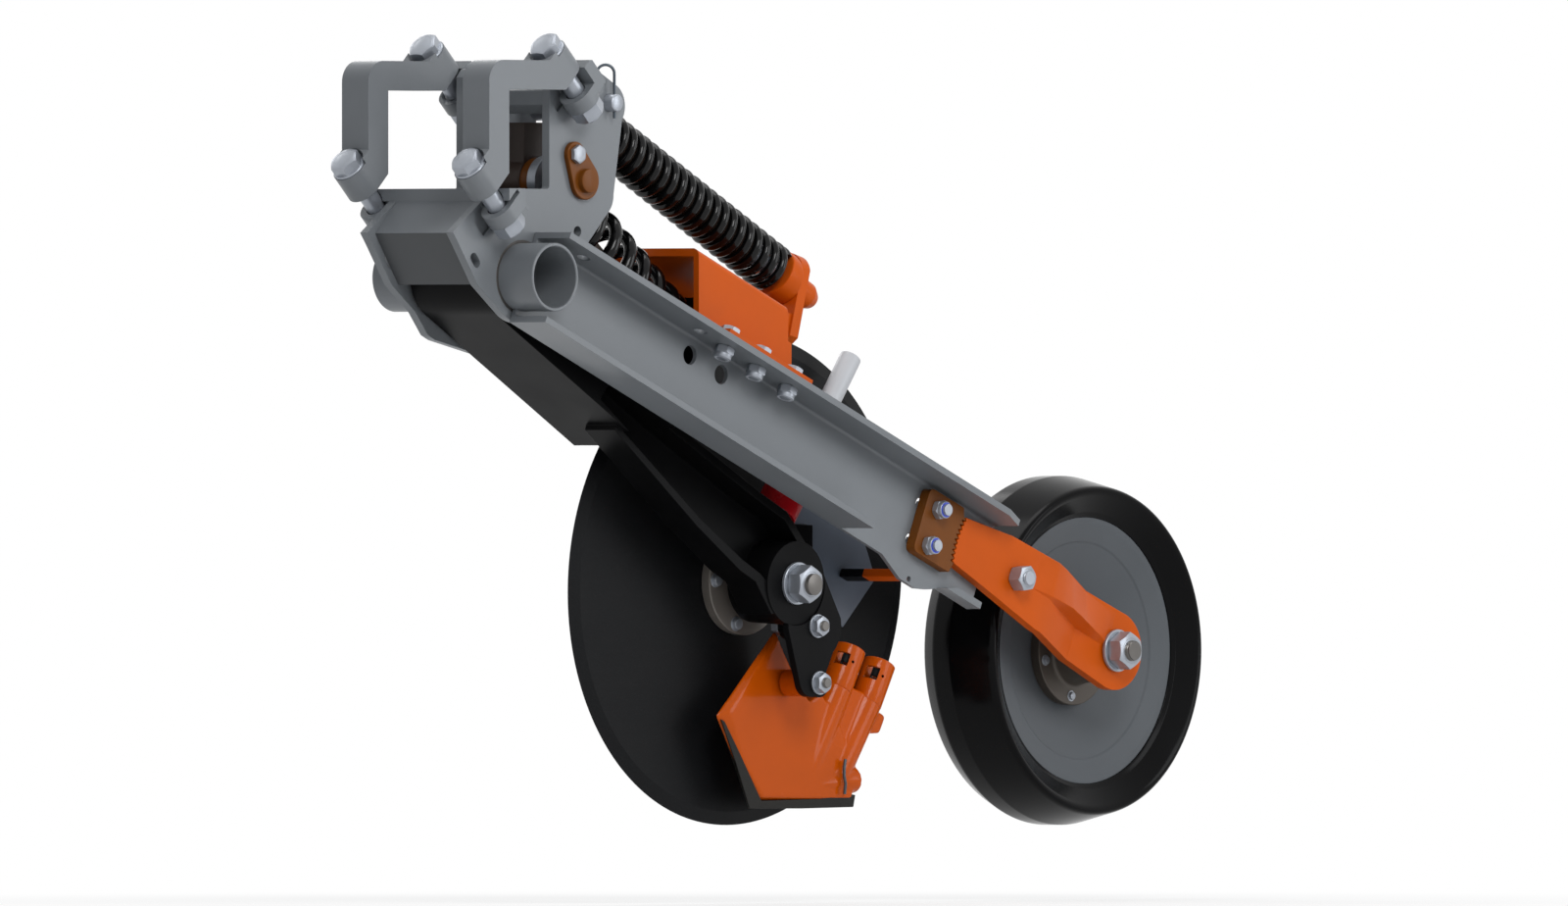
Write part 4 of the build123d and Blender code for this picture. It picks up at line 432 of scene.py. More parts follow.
# For each finish: its slot, name, screen colour, roughness, other settings and CAD nodes
FINISHES = {
    "grey": ("frame_grey", "grey paint", (117, 121, 125), 0.40,
        dict(coat=0.05, spread=0.05, bump=0.10, specular=0.3),
        "side_plate_near side_plate_far front_beam rear_beam toolbar_clamps pivot_tube frame_channel"),
    "orange": ("orange_paint", "orange paint", (200, 84, 8), 0.36,
        dict(coat=0.05, spread=0.05, bump=0.06, specular=0.10),
        "bridge_bracket upper_spring_seat scraper_bar wheel_arm upper_rod_nut"),
    "boot": ("boot_orange", "moulded orange", (192, 80, 4), 0.24,
        dict(coat=0.22, spread=0.05, bump=0.03, specular=0.05), "seed_boot"),
    "black": ("black_paint", "black paint", (15, 15, 16), 0.34, dict(spread=0.2, bump=0.05, specular=0.05),
        "scraper_tip disc_arm lower_spring_seat boot_bracket"),
    "brown": ("brown_paint", "brown casting", (112, 62, 12), 0.42,
        dict(coat=0.05, bump=0.12, specular=0.15),
        "pin_keeper lower_spring_pin lock_block lower_eye_bush"),
    "dark_brown": ("brown_paint", "dark casting", (62, 50, 44), 0.36,
        dict(spread=0.2, bump=0.2, specular=0.2), "lower_rod upper_guide_tube"),
    # Darker copy of the grey paint: painted shade for the lower front faces of the front beam
    "shaded_grey": ("frame_grey", "grey paint with painted shade", (80, 82, 84), 0.42,
        dict(spread=0.05, bump=0.08, specular=0.2), ""),
    "zinc": ("zinc", "zinc plate", (158, 163, 171), 0.34,
        dict(metallic=0.55, spread=0.08, cloud=60, bump=0.05),
        "clamp_bolts clamp_nuts upper_spring_pin pin_clip keeper_screw frame_bolts frame_nuts lock_bolts"
        " lock_nuts wheel_axle_washer wheel_axle_nut wheel_bolts disc_axle_washer disc_axle_nut"
        " disc_bolts boot_bolts boot_nuts upper_rod lower_rod_nut"),
    "post": ("zinc", "plated post", (186, 188, 192), 0.5,
        dict(metallic=0.15, spread=0.04, cloud=40, bump=0.05), "arm_post"),
    "steel": ("steel", "bare steel", (104, 101, 98), 0.36, dict(metallic=0.7, cloud=45),
        "pivot_bushes disc_arm_bush wheel_axle disc_axle wheel_bearings disc_bearings"),
    "disc": ("disc_steel", "disc steel", (13, 14, 16), 0.50,
        dict(spread=0.15, speck=0.008, grain=1400, bump=0.05, specular=0.12), "disc_blade"),
    "hub": ("steel", "hub casting", (78, 71, 64), 0.44, dict(metallic=0.3, spread=0.14, bump=0.2),
        "disc_hub wheel_hub"),
    # Lighter copy of the hub casting: painted light for the disc hub, which lies in the shadow of the arm
    "lit_hub": ("steel", "hub casting with painted light", (116, 110, 104), 0.44, dict(metallic=0.2, spread=0.1, bump=0.2), ""),
    "rim": ("rim_grey", "rim grey", (84, 88, 92), 0.44,
        dict(spread=0.05, speck=0.01, grain=1200, bump=0.08, specular=0.2), "rim_near rim_far"),
    "guard": ("guard_blue", "guard paint", (88, 97, 110), 0.38, dict(spread=0.08, bump=0.08), "guard_plate"),
    "tyre": ("tyre", "tyre rubber", (9, 9, 10), 0.16, dict(spread=0.2, bump=0.02, cloud=8, specular=0.08),
        "press_tyre"),
    "spring": ("black_paint", "spring enamel", (10, 10, 11), 0.12,
        dict(coat=0.22, spread=0.2, bump=0.02, specular=0.12), "upper_spring lower_spring"),
    "shoe": ("shoe_iron", "hard iron", (34, 33, 31), 0.5,
        dict(metallic=0.2, spread=0.25, bump=0.3, specular=0.15), "wear_shoe"),
    "red": ("red_paint", "red cap", (190, 10, 24), 0.28, dict(coat=0.5, spread=0.06), "post_sleeve"),
    "blue": ("zinc", "nylon blue", (60, 80, 200), 0.4, dict(spread=0.08), ""),
    "nylon": ("zinc", "nylon ring", (205, 208, 214), 0.45, dict(spread=0.05), ""),
    "wire": ("zinc", "clip wire", (74, 82, 90), 0.35, dict(metallic=0.6, spread=0.1), ""),
}
MATERIALS, SLOTS = {}, {}
for key, (slot, title, screen_colour, rough_share, settings, dressed) in FINISHES.items():
    MATERIALS[key] = make_material(title, linear(screen_colour), rough_share, **settings)
    SLOTS[key] = slot
    for node_name in dressed.split():
        node_mesh = nodes[node_name].data
        node_mesh.materials.clear()
        node_mesh.materials.append(MATERIALS[key])


# Outlines
def rounded(points, radius, steps=5):
    """Closed outline with its corners rounded; radius is one number or one for each corner."""
    count = len(points)
    radii = radius if isinstance(radius, (list, tuple)) else [radius] * count
    made = []
    for i, (x, y) in enumerate(points):
        here = Vector((x, y))
        to_last = Vector(points[i - 1]) - here
        to_next = Vector(points[(i + 1) % count]) - here
        corner = to_last.angle(to_next)
        if radii[i] <= 0 or corner > pi - 0.05:
            made.append((x, y))
            continue
        reach = min(radii[i] / tan(corner / 2), to_last.length * 0.48, to_next.length * 0.48)
        start = here + to_last.normalized() * reach
        end = here + to_next.normalized() * reach
        for k in range(steps + 1):
            t = k / steps
            spot = start * (1 - t) ** 2 + here * 2 * t * (1 - t) + end * t**2
            made.append((spot.x, spot.y))
    return made


def arc(x, y, radius, first, last, steps):
    """Points on an arc about (x, y) from one angle to another."""
    angles = [radians(first + (last - first) * k / steps) for k in range(steps + 1)]
    return [(x + radius * cos(a), y + radius * sin(a)) for a in angles]


def round_head(bm, where, radius, height, soft=1.0, mat=0):
    """Plain round end of a pin or bolt with a rounded rim."""
    lathe(bm, where, [(0, radius), (height - soft, radius), (height - soft * 0.3, radius - soft * 0.3),
                      (height, radius - soft), (height, 0)], 32, mat=mat)


def flipped(where):
    """The same place looking the other way."""
    return where @ Matrix.Rotation(pi, 4, "X")


def shifted(where, x=0.0, y=0.0, z=0.0):
    return where @ Matrix.Translation(Vector((x, y, z)) * MM)


def hex_head(bm, where, across, height):
    """Bolt head that stands on a face, on its washer ring, with the hollow in its crown."""
    lathe(bm, where, [(0, across * 0.47), (0.6, across * 0.47), (0.6, 0)], 40)
    hexagon(bm, shifted(where, z=0.5), across, height - 0.5)
    top = height + 0.02
    lathe(bm, where, [(top, across * 0.40), (top, across * 0.38), (top - 0.4, across * 0.34), (top - 0.4, 0)], 40)


def plain_nut(bm, where, across, height, bolt, stick, pitch=2.0):
    """Nut chamfered on both faces, with the threaded end of its bolt standing out of it."""
    hexagon(bm, where, across, height, low_chamfer=True)
    top = height + 0.02
    lathe(bm, where, [(top, bolt / 2 + 1.6), (top - 0.9, bolt / 2 + 0.4)], 40)
    thread(bm, shifted(where, z=height - 1), bolt, pitch, stick + 1)


def lock_nut(bm, where, across, height, bolt):
    """Nut with a round collar that holds a nylon ring about the end of its bolt."""
    hexagon(bm, where, across, height * 0.62, low_chamfer=True)
    outer = across * 0.495
    collar = [(height * 0.55, outer), (height - 0.9, outer), (height - 0.2, outer - 0.4), (height, outer - 0.8),
              (height - 0.3, outer - 1.1)]
    lathe(bm, where, collar, 40)
    lathe(bm, where, [(height - 0.3, outer - 1.1), (height - 0.3, bolt / 2 - 0.1)], 40, mat=1)
    round_head(bm, shifted(where, z=height - 3), bolt / 2 - 0.2, 3.2, 0.7)


# Head
NOTCH = 50.5
CLAMP_OFFSET = NOTCH * 2**0.5 + 12.0
CLAMP_Y = 84.5
HEAD_SEAT = -42.5
EAR_END = -11.0
LUG_FACE = 14.0
NUT_SEAT = 30.5


def clamp_place(side, y, along):
    """Along a clamp bolt; side 1 is at the rear top corner of the bar, -1 at the front bottom one."""
    root2 = 2**0.5
    out = side * CLAMP_OFFSET / root2
    step = along / root2
    return place((out + step, y, out - step), (1, 0, -1), (0, 1, 0))


def round_end(side, y, low, high, reach, sense=1):
    """Cutter that gives a lug a full radius about its clamp bolt on its outer side, or on its inner one."""
    half = 18.5
    middle = reach - half
    outline = [(-half - 4, middle), (-half - 4, reach + 7), (half + 4, reach + 7), (half + 4, middle)]
    outline += arc(0, middle, half, 0, 180, 24)
    return solid(prism, clamp_place(side, y, 0), [(a, sense * side * b) for a, b in outline], low, high)


def clamp_cylinder(side, y, low, high, radius):
    """Boss or spot face about a clamp bolt."""
    return solid(lathe, clamp_place(side, y, low), bar(radius, high - low), 56)


def clamp_slab(side, y, low, high, inner, outer):
    """Cutter across a lug between two places along its clamp bolt."""
    outline = [(-20, side * inner), (20, side * inner), (20, side * outer), (-20, side * outer)]
    return solid(prism, clamp_place(side, y, 0), outline, low, high)


def make_head():
    soften("side_plate_near", "head", "grey", 1.3)
    soften("side_plate_far", "head", "grey", 1.3)
    ends = (CLAMP_Y, -CLAMP_Y)
    cuts, bosses = [], []
    for side in (1, -1):
        for y in ends:
            bosses.append(clamp_cylinder(side, y, HEAD_SEAT - 5, EAR_END + 2, 18.4))
            cuts.append(round_end(side, y, -51, -7, 18.4))
            cuts.append(clamp_cylinder(side, y, -75, HEAD_SEAT, 19.6))
            cuts.append(clamp_slab(side, y, EAR_END, -6.5, -24, 20))
    soften("toolbar_clamps", "head", "grey", 1.6, cuts=cuts, joins=bosses)
    cuts = [round_end(-1, y, 10, 37, 18.5) for y in ends]
    cuts += [clamp_cylinder(-1, y, NUT_SEAT, 45, 24) for y in ends]
    cuts += [clamp_slab(-1, y, 9, LUG_FACE, -20, 23) for y in ends]
    beam = soften("front_beam", "head", "grey", 1.3, cuts=cuts)
    # The lower faces in the middle of the front beam take the darker grey: painted shade
    beam.data.materials.append(MATERIALS["shaded_grey"])
    for face in beam.data.polygons:
        if face.center.z < -0.1 and abs(face.center.y) < 0.058:
            face.material_index = 1
    cuts = [clamp_cylinder(1, y, NUT_SEAT, 45, 24) for y in ends]
    cuts += [clamp_slab(1, y, 9, LUG_FACE, -20, 12.2) for y in ends]
    cuts += [round_end(1, y, 25.2, 37, 18.5) for y in ends]
    cuts += [round_end(1, y, 9, 37, 18.5, -1) for y in ends]
    soften("rear_beam", "head", "grey", 1.3, cuts=cuts)
    soften("pin_keeper", "head", "brown", 1.2)
    bolts, nuts = bmesh.new(), bmesh.new()
    tilt = Matrix.Rotation(pi / 6, 4, "Z")
    for side in (1, -1):
        for y in ends:
            head = flipped(clamp_place(side, y, HEAD_SEAT))
            lathe(bolts, head, [(0, 0), (0, 17.6), (1.0, 17.8), (2.2, 16.6), (2.6, 0)], 48)
            hex_head(bolts, head @ tilt, 29, 13)
            shank = clamp_place(side, y, HEAD_SEAT - 1)
            lathe(bolts, shank, [(0, 9.9), (NUT_SEAT - HEAD_SEAT + 2, 9.9)], 40)
            plain_nut(nuts, clamp_place(side, y, NUT_SEAT) @ tilt, 30, 16, 20, 4.5, 2.5)
    finish_piece(bolts, "clamp_bolt_set", "head", "zinc", "clamp_bolts")
    finish_piece(nuts, "clamp_nut_set", "head", "zinc", "clamp_nuts")

    bm = bmesh.new()
    for side in (1, -1):
        pin_end = place((UPPER_PIN[0], -side * 77.0, UPPER_PIN[2]), (0, side, 0))
        lathe(bm, pin_end, [(0, 0), (0, 7.4), (0.5, 8.3), (1.6, 9.0), (77, 9.0)], 40)
    collar = place((UPPER_PIN[0], 65.0, UPPER_PIN[2]), (0, 1, 0))
    lathe(bm, collar, [(0.2, 9), (0.2, 12.4), (0.8, 13), (3.2, 13), (4, 12.2), (4, 9)], 40)
    finish_piece(bm, "upper_pin_shape", "head", "zinc", "upper_spring_pin")

    bm = bmesh.new()
    clip_y = -72.0
    loop = 9.0
    route = [(UPPER_PIN[0], clip_y, UPPER_PIN[2] - 16 + 4 * k) for k in range(12)]
    for k in range(1, 30):
        angle = radians(260) * k / 29
        off = loop * (cos(angle) - 1) * 0.71
        route.append((UPPER_PIN[0] + off, clip_y - off, UPPER_PIN[2] + 30 + loop * sin(angle)))
    sweep(bm, route, lambda i: 1.5)
    finish_piece(bm, "pin_clip_wire", "head", "wire", "pin_clip")

    bm = bmesh.new()
    hex_head(bm, place((85.0, -71.0, -15.0), (0, -1, 0)), 17, 5.5)
    finish_piece(bm, "keeper_screw_head", "head", "zinc", "keeper_screw")

    bm = bmesh.new()
    for side, reach in ((1, 35.0), (-1, 47.0)):
        end = place((LOWER_PIN[0], side * 30.0, LOWER_PIN[2]), (0, side, 0))
        round_head(bm, end, 12.5, reach, 1.2)
    finish_piece(bm, "lower_pin_shape", "head", "brown", "lower_spring_pin")


# Press frame
BRIDGE_BOLTS = (284.0, 336.0, 388.0)
BRIDGE_BOLT_Y = -92.0
LOCK_ALONG = 657.0
CHANNEL_LENGTH = 755.0


def flange_place(along, up, downwards=True):
    """On the top flange of the channel, z pointing down through it or up from it."""
    slope = radians(FRAME_SLOPE)
    sign = -1 if downwards else 1
    return place(frame_point(along, BRIDGE_BOLT_Y, up), (sign * sin(slope), 0, sign * cos(slope)), (0, 1, 0))


def make_press_frame():
    lip = rounded([(CHANNEL_LENGTH - 56, -50), (CHANNEL_LENGTH, -50), (CHANNEL_LENGTH, -42.5),
                   (CHANNEL_LENGTH - 40, -42.5)], [0, 1, 1, 4])
    slope = radians(FRAME_SLOPE)
    plan = place(frame_point(0, 0, 0), (sin(slope), 0, cos(slope)), (cos(slope), 0, -sin(slope)))
    corner = [(727, -116), (727, -125), (770, -125), (770, -105.5), (755, -105.5)]
    cuts = [solid(lathe, frame_place(CHANNEL_LENGTH - 99, -60.0, -58.0), bar(3, 30), 24),
            solid(prism, plan, corner, 40, 60)]
    tail = solid(prism, frame_place(0, -70.0, 0), lip, 0, 15)
    soften("frame_channel", "press_frame", "grey", 1.2, cuts, [tail])
    rib_cut = solid(prism, side_place(0), [(484.8, -163), (467.8, -225), (520, -225), (520, -163)], -40, 40)
    soften("bridge_bracket", "press_frame", "orange", 1.4, [rib_cut])
    soften("scraper_bar", "press_frame", "orange", 0.8)
    soften("scraper_tip", "press_frame", "black", 0.8)
    soften("upper_spring_seat", "press_frame", "orange", 1.0)

    bm = bmesh.new()
    tube_place = place((PIVOT[0], 112.0, PIVOT[2]), (0, -1, 0))
    wall = [(0.8, 35), (223.2, 35), (224, 34.2), (224, 32.3), (223.2, 31.5), (0.8, 31.5), (0, 32.3), (0, 34.2)]
    lathe(bm, tube_place, wall, 96, closed=True)
    finish_piece(bm, "pivot_tube", "press_frame", "grey")

    bolts, nuts = bmesh.new(), bmesh.new()
    for along in BRIDGE_BOLTS:
        hex_head(bolts, flange_place(along, 57.5, False), 18, 7.5)
        lathe(bolts, flange_place(along, 57.5), [(0, 5.9), (15, 5.9)], 24)
        lock_nut(nuts, flange_place(along, 43.3), 18.5, 13, 12)
    pivot = frame_place(ARM_PIVOT_ALONG, -66.0, ARM_UP)
    hex_head(bolts, flipped(pivot), 24, 10)
    lathe(bolts, pivot, [(0, 7.9), (20, 7.9)], 32)
    plain_nut(nuts, frame_place(ARM_PIVOT_ALONG, -ARM_NEAR - 0.3, ARM_UP), 24, 16, 16, 3)
    finish_piece(bolts, "frame_bolt_set", "press_frame", "zinc", "frame_bolts")
    finish_piece(nuts, "frame_nut_set", "press_frame", "zinc nylon", "frame_nuts")

    bm = bmesh.new()
    weld_bead(bm, [(x, -66.2, z) for x, z in arc(PIVOT[0], PIVOT[2], 35.6, 39, -85.8, 24)], 2.0)
    weld_bead(bm, [frame_point(10 + 2 * k, -71.5, 42.6) for k in range(6)], 1.6)
    finish_piece(bm, "tube_welds", "press_frame", "grey", "")

    bm = bmesh.new()
    for up in (20.0, -20.0):
        lock_nut(bm, frame_place(LOCK_ALONG, -ARM_NEAR, up), 18, 12, 12)
    finish_piece(bm, "lock_nut_set", "lock", "zinc blue", "lock_nuts")

    teeth = tooth_line(98.4, 103.6)
    outline = teeth + [(teeth[-1][0] - 3, 37.6), (LOCK_ALONG - 19, 37.6), (LOCK_ALONG - 19, -33),
                       (teeth[0][0] - 3, -33)]
    radii = [0] * len(teeth) + [2, 8, 8, 2]
    bm = bmesh.new()
    prism(bm, frame_place(0, 0, 0), rounded(outline, radii), ARM_NEAR - 12, ARM_NEAR)
    finish_piece(bm, "lock_block", "lock", "brown", bevel=0.5)


# Wheel arm and press wheel
WHEEL_CENTRE = -WHEEL_SETBACK
RIM_HALF = 28.5
TYRE_HALF = 50.5
RIM_RADIUS = 139.0
LIP_RADIUS = 169.0
CROWN_RADIUS = 181.5
RIM_JOINT = -72.6
FLANGE_FACE = -55.6
HUB_HIGH = -28.0
HUB_LOW = -110.0


def tooth_line(inner, outer):
    """Zigzag on an arc about the pivot of the wheel arm, from below to above it."""
    points = []
    for i in range(20):
        angle = radians(193.9 - i * 29.8 / 19)
        radius = outer if i % 2 else inner
        points.append((ARM_PIVOT_ALONG + radius * cos(angle), ARM_UP + radius * sin(angle)))
    return points


def make_hub(where, low, high, face, body, mat, node):
    """Cast hub: a turned flange, a waisted body with a fillet and a rim for the grease cap."""
    thick = 12.0
    outline = rounded(
        [(low, 0.01), (low, 28), (low + 4, 32), (face - thick, 32), (face - thick, 57), (face, 57), (face, 36),
         (high, 32), (high, 26.2), (high - 1.2, 26), (high - 1.2, 0.01)],
        [0, 2, 2, 4, 1.6, 1.6, 5, 2, 0.5, 0, 0],
    )
    bm = bmesh.new()
    lathe(bm, where, outline, 80)
    lathe(bm, where, [(high - 1.1, 25.8), (high - 1.1, 20), (high - 0.4, 19.4), (high - 0.4, 14.5), (high - 1.6, 14)],
          64)
    finish_piece(bm, node, body, mat)


def stud_ends(where, radius, height, name, body, node, first):
    """Ends of the hub bolts: short turned pins in their countersinks."""
    bm = bmesh.new()
    for x, y in arc(0, 0, HUB_CIRCLE / 2, first, first + 288, 4):
        spot = shifted(where, x, y)
        round_head(bm, spot, radius, height, 0.8)
        lathe(bm, spot, [(0.05, radius + 1.8), (0.4, radius + 1.6), (0.4, radius + 0.1)], 32)
    finish_piece(bm, name, body, "zinc", node)


def between(table, along):
    """Value at a place along the arm from (along, value) pairs."""
    for (a, low), (b, high) in zip(table, table[1:]):
        if along <= b:
            return low + (high - low) * (along - a) / (b - a)
    return table[-1][1]


def make_arm():
    """Flat bar with teeth about its pivot, a step inwards and a raised rib that dies out at both ends."""
    where = frame_place(0, 0, 0)
    face = [(0, ARM_NEAR), (852, ARM_NEAR), (923.5, END_NEAR), (1100, END_NEAR)]
    upper = [(774.5, 40), (869.6, 43.2), (923.6, 41.5)]
    lower = [(923, -36.0), (842.7, -35.6), (747, -25.5)]
    circle = arc(AXLE_ALONG, ARM_UP, 41, 97, -97, 40)
    bm = bmesh.new()
    prism(bm, where, tooth_line(97.2, 100.0) + upper + circle + lower, -12, 0)
    for along in (852, 923.5):
        bmesh.ops.bisect_plane(bm, geom=bm.verts[:] + bm.edges[:] + bm.faces[:], dist=1e-6,
                               plane_co=(where @ Vector((along * MM, 0, 0))),
                               plane_no=(where.to_3x3() @ Vector((1, 0, 0))))
    back = where.inverted()
    normal = where.to_3x3() @ Vector((0, 0, MM))
    for vert in bm.verts:
        vert.co += normal * between(face, (back @ vert.co).x / MM)
    plate = loose(bm, "arm_plate")
    boolean(plate, [solid(lathe, frame_place(along, -50, ARM_UP), bar(radius, 50), 48)
                    for along, radius in ((ARM_PIVOT_ALONG, 8.2), (AXLE_ALONG, 11.3))])
    bm = bmesh.new()
    bm.from_mesh(plate.data)
    bpy.data.objects.remove(plate)

    crest_up = [(821, 2), (850, 5), (888, 6.5), (975, 4)]
    crest_out = [(821, 83.2), (835, 85), (852, 86), (870, 86), (888, 85), (906, 81), (923.5, 76), (945, 69.5),
                 (960, 65.5), (975, 60.4)]
    foot_up = [(821, 1.5), (861, 0.3), (923.5, -1.1), (945, -1.1), (966, -2.3), (975, -2.3)]
    edge_up = [(821, 41.0), (869.6, 42.4), (923.6, 40.4), (975, 38)]
    rings = []
    for k in range(45):
        along = 821 + 3.5 * k
        plane = between(face, along)
        spots = ((between(foot_up, along), plane - 1.0), (between(crest_up, along), between(crest_out, along)),
                 (between(edge_up, along), plane - 0.1), (between(edge_up, along), plane - 1.5))
        rings.append(ring_of(bm, where, [(along, up, out) for up, out in spots]))
    skin(bm, rings)
    finish_piece(bm, "wheel_arm", "wheel_carrier", "orange", sharp=28, bevel=0.5)


WASHER = [(0, 11.2), (0, 21.4), (0.6, 22), (3.4, 22), (4, 21.4), (4, 11.2)]


def axle_nut(bm, where, height):
    hexagon(bm, where, 34, height, low_chamfer=True)
    lathe(bm, where, [(height + 0.02, 13.2), (height - 1.0, 11.6)], 48)


def make_wheel():
    make_arm()
    axle_place = wheel_place(0)
    bm = bmesh.new()
    lathe(bm, wheel_place(0.9), WASHER, closed=True)
    finish_piece(bm, "wheel_washer", "wheel_carrier", "zinc", "wheel_axle_washer")
    bm = bmesh.new()
    axle_nut(bm, wheel_place(4.9), 17)
    finish_piece(bm, "wheel_nut", "wheel_carrier", "zinc", "wheel_axle_nut")
    bm = bmesh.new()
    thread(bm, wheel_place(19.0), 22, 2.5, 8.0)
    lathe(bm, wheel_place(HUB_HIGH + 0.3), [(0, 17.5), (16, 17.5)], 48)
    lathe(bm, wheel_place(-12.0), [(0, 11), (31, 11)], 48)
    finish_piece(bm, "wheel_axle", "wheel_carrier", "steel")

    near, far = WHEEL_CENTRE + RIM_HALF, WHEEL_CENTRE - RIM_HALF
    crown_near, crown_far = WHEEL_CENTRE - 3.0, WHEEL_CENTRE - 25.5
    outline = rounded(
        [(near, RIM_RADIUS), (WHEEL_CENTRE + TYRE_HALF, LIP_RADIUS), (crown_near, CROWN_RADIUS),
         (crown_far, CROWN_RADIUS), (WHEEL_CENTRE - TYRE_HALF, LIP_RADIUS), (far, RIM_RADIUS)],
        [1.5, 7, 10, 10, 7, 1.5],
        8,
    )
    bm = bmesh.new()
    lathe(bm, axle_place, outline, 144, closed=True)
    for side, edge in ((1, near), (-1, far)):
        bead = rounded(
            [(edge - side * 2, RIM_RADIUS - 0.5), (edge + side * 0.6, RIM_RADIUS - 0.5),
             (edge + side * 3.6, RIM_RADIUS + 5), (edge + side * 0.5, RIM_RADIUS + 6)], 1.2, 4)
        lathe(bm, axle_place, bead, 144, closed=True)
    finish_piece(bm, "press_tyre", "press_wheel", "tyre", sharp=45)

    sheet = 5.0
    for side, node in ((1, "rim_near"), (-1, "rim_far")):
        edge = WHEEL_CENTRE + side * RIM_HALF
        outline = rounded(
            [(RIM_JOINT, 32.5), (RIM_JOINT + side * sheet, 32.5), (RIM_JOINT + side * sheet, 58),
             (edge - side * 8, 112), (edge - side * 6.6, 114), (edge - side * 1.5, 132), (edge, RIM_RADIUS),
             (edge - side * sheet, RIM_RADIUS), (edge - side * (sheet + 2), 130),
             (edge - side * (sheet + 8), 110), (RIM_JOINT, 60)],
            [0.8, 0.8, 8, 1.5, 1.5, 3, 1.6, 0.8, 3, 3, 4],
            6,
        )
        bm = bmesh.new()
        lathe(bm, axle_place, outline, 144, closed=True)
        finish_piece(bm, node, "press_wheel", "rim")
    make_hub(axle_place, HUB_LOW, HUB_HIGH, FLANGE_FACE, "press_wheel", "hub", "wheel_hub")
    stud_ends(wheel_place(FLANGE_FACE), 4.0, 3.0, "wheel_stud_set", "press_wheel", "wheel_bolts", 192)


# Disc and its arm
ARM_FACE = 80.6


def make_disc():
    where = disc_place(0)
    outline = rounded(
        [(0, 32.1), (0, DISC_RADIUS - 14), (-4, DISC_RADIUS), (-5, DISC_RADIUS), (-5, 32.1)],
        [0.4, 0, 0.4, 0.4, 0.4], 3,
    )
    bm = bmesh.new()
    lathe(bm, where, outline, 180, closed=True)
    finish_piece(bm, "disc_blade", "disc", "disc", sharp=8)
    # The disc hub takes the lighter copy of the hub casting: painted light where it lies in shade
    make_hub(where, -45.0, 12.0, 11.99, "disc", "lit_hub", "disc_hub")
    stud_ends(disc_place(12.0), 5.8, 5.0, "disc_stud_set", "disc", "disc_bolts", 180)

    bm = bmesh.new()
    axle_nut(bm, disc_place(ARM_FACE + 4), 18)
    round_head(bm, disc_place(ARM_FACE + 20), 11.1, 7.1, 0.8, mat=1)
    finish_piece(bm, "disc_axle_nut", "disc_carrier", "zinc steel")
    bm = bmesh.new()
    lathe(bm, disc_place(ARM_FACE), WASHER, closed=True)
    finish_piece(bm, "disc_washer", "disc_carrier", "zinc", "disc_axle_washer")


def make_disc_arm():
    soften("disc_arm", "disc_carrier", "black", 1.6)
    soften("lower_spring_seat", "disc_carrier", "black", 1.2)
    bracket = soften("boot_bracket", "disc_carrier", "black", 1.2)
    bracket.data.materials.append(MATERIALS["boot"])
    for face in bracket.data.polygons:
        if face.center.y > -0.033 and face.center.z < -0.53:
            face.material_index = 1
    soften("guard_plate", "disc_carrier", "guard", 0.9)
    soften("post_sleeve", "disc_carrier", "red", 1.5)
    lean = radians(35.8)
    base = (446.0, -8.0, -394.0)
    post = place(base, (sin(lean), 0, cos(lean)), (0, 1, 0))
    bm = bmesh.new()
    profile = [(0, 12.5), (43, 12.5), (44, 11.5), (211, 11.5), (212.4, 11.0), (213, 10.0), (213, 0)]
    lathe(bm, post, profile, 48)
    finish_piece(bm, "arm_post", "disc_carrier", "post")

    bm = bmesh.new()
    for x, z in BOOT_BOLTS:
        spot = place((x, -45.0, z), (0, -1, 0))
        lathe(bm, spot, [(0, 12.2), (1.6, 12.2), (2.0, 11.8), (2.0, 0)], 40)
        hexagon(bm, shifted(spot, z=1.8), 18.5, 7.0, low_chamfer=True)
        thread(bm, shifted(spot, z=7.8), 11.4, 1.75, 4.6, mat=1)
    finish_piece(bm, "boot_bolt_set", "disc_carrier", "zinc steel", "boot_bolts")
    bm = bmesh.new()
    for x, z in BOOT_BOLTS:
        plain_nut(bm, place((x, 2.0, z), (0, 1, 0)), 18, 10, 12, 1)
    finish_piece(bm, "boot_nut_set", "disc_carrier", "zinc", "boot_nuts")


# Seed boot
DX, DZ = DISC_CENTRE[0], DISC_CENTRE[2]
BOOT_BOLTS = ((DX + 32, DZ - 48), (DX + 35, DZ - 106.6))
BOOT_Y = 12.0
BOOT_HALF = 14.0
INLETS = ((DX + 144.3, DZ - 72), (DX + 189.9, DZ - 87))
INLET_LEAN = radians(28)


def side_place(y):
    """Side view plane at depth y: x is X, y is Z and z points to the near side."""
    return Matrix.Translation(Vector((0, y, 0)) * MM) @ Matrix.Rotation(pi / 2, 4, "X")


def inlet_place(top, distance):
    x = top[0] + distance * sin(INLET_LEAN)
    z = top[1] + distance * cos(INLET_LEAN)
    return place((x, BOOT_Y, z), (sin(INLET_LEAN), 0, cos(INLET_LEAN)), (0, 1, 0))


def taper(bm, start, end, r_start, r_end, flat=1.0, sunk=0.0):
    """Tapered bar between two side view points, closed at its ends; its end may sink towards the disc."""
    a = Vector((start[0], BOOT_Y, start[1]))
    b = Vector((end[0], BOOT_Y + sunk, end[1]))
    where = place(a, b - a, (0, 1, 0))
    long = (b - a).length
    lathe(bm, where @ Matrix.Diagonal((flat, 1, 1, 1)), [(0, 0), (0, r_start), (long, r_end), (long, 0)], 48)


def from_disc(points):
    """Side view points given from the centre of the disc."""
    return [(DX + x, DZ + z) for x, z in points]


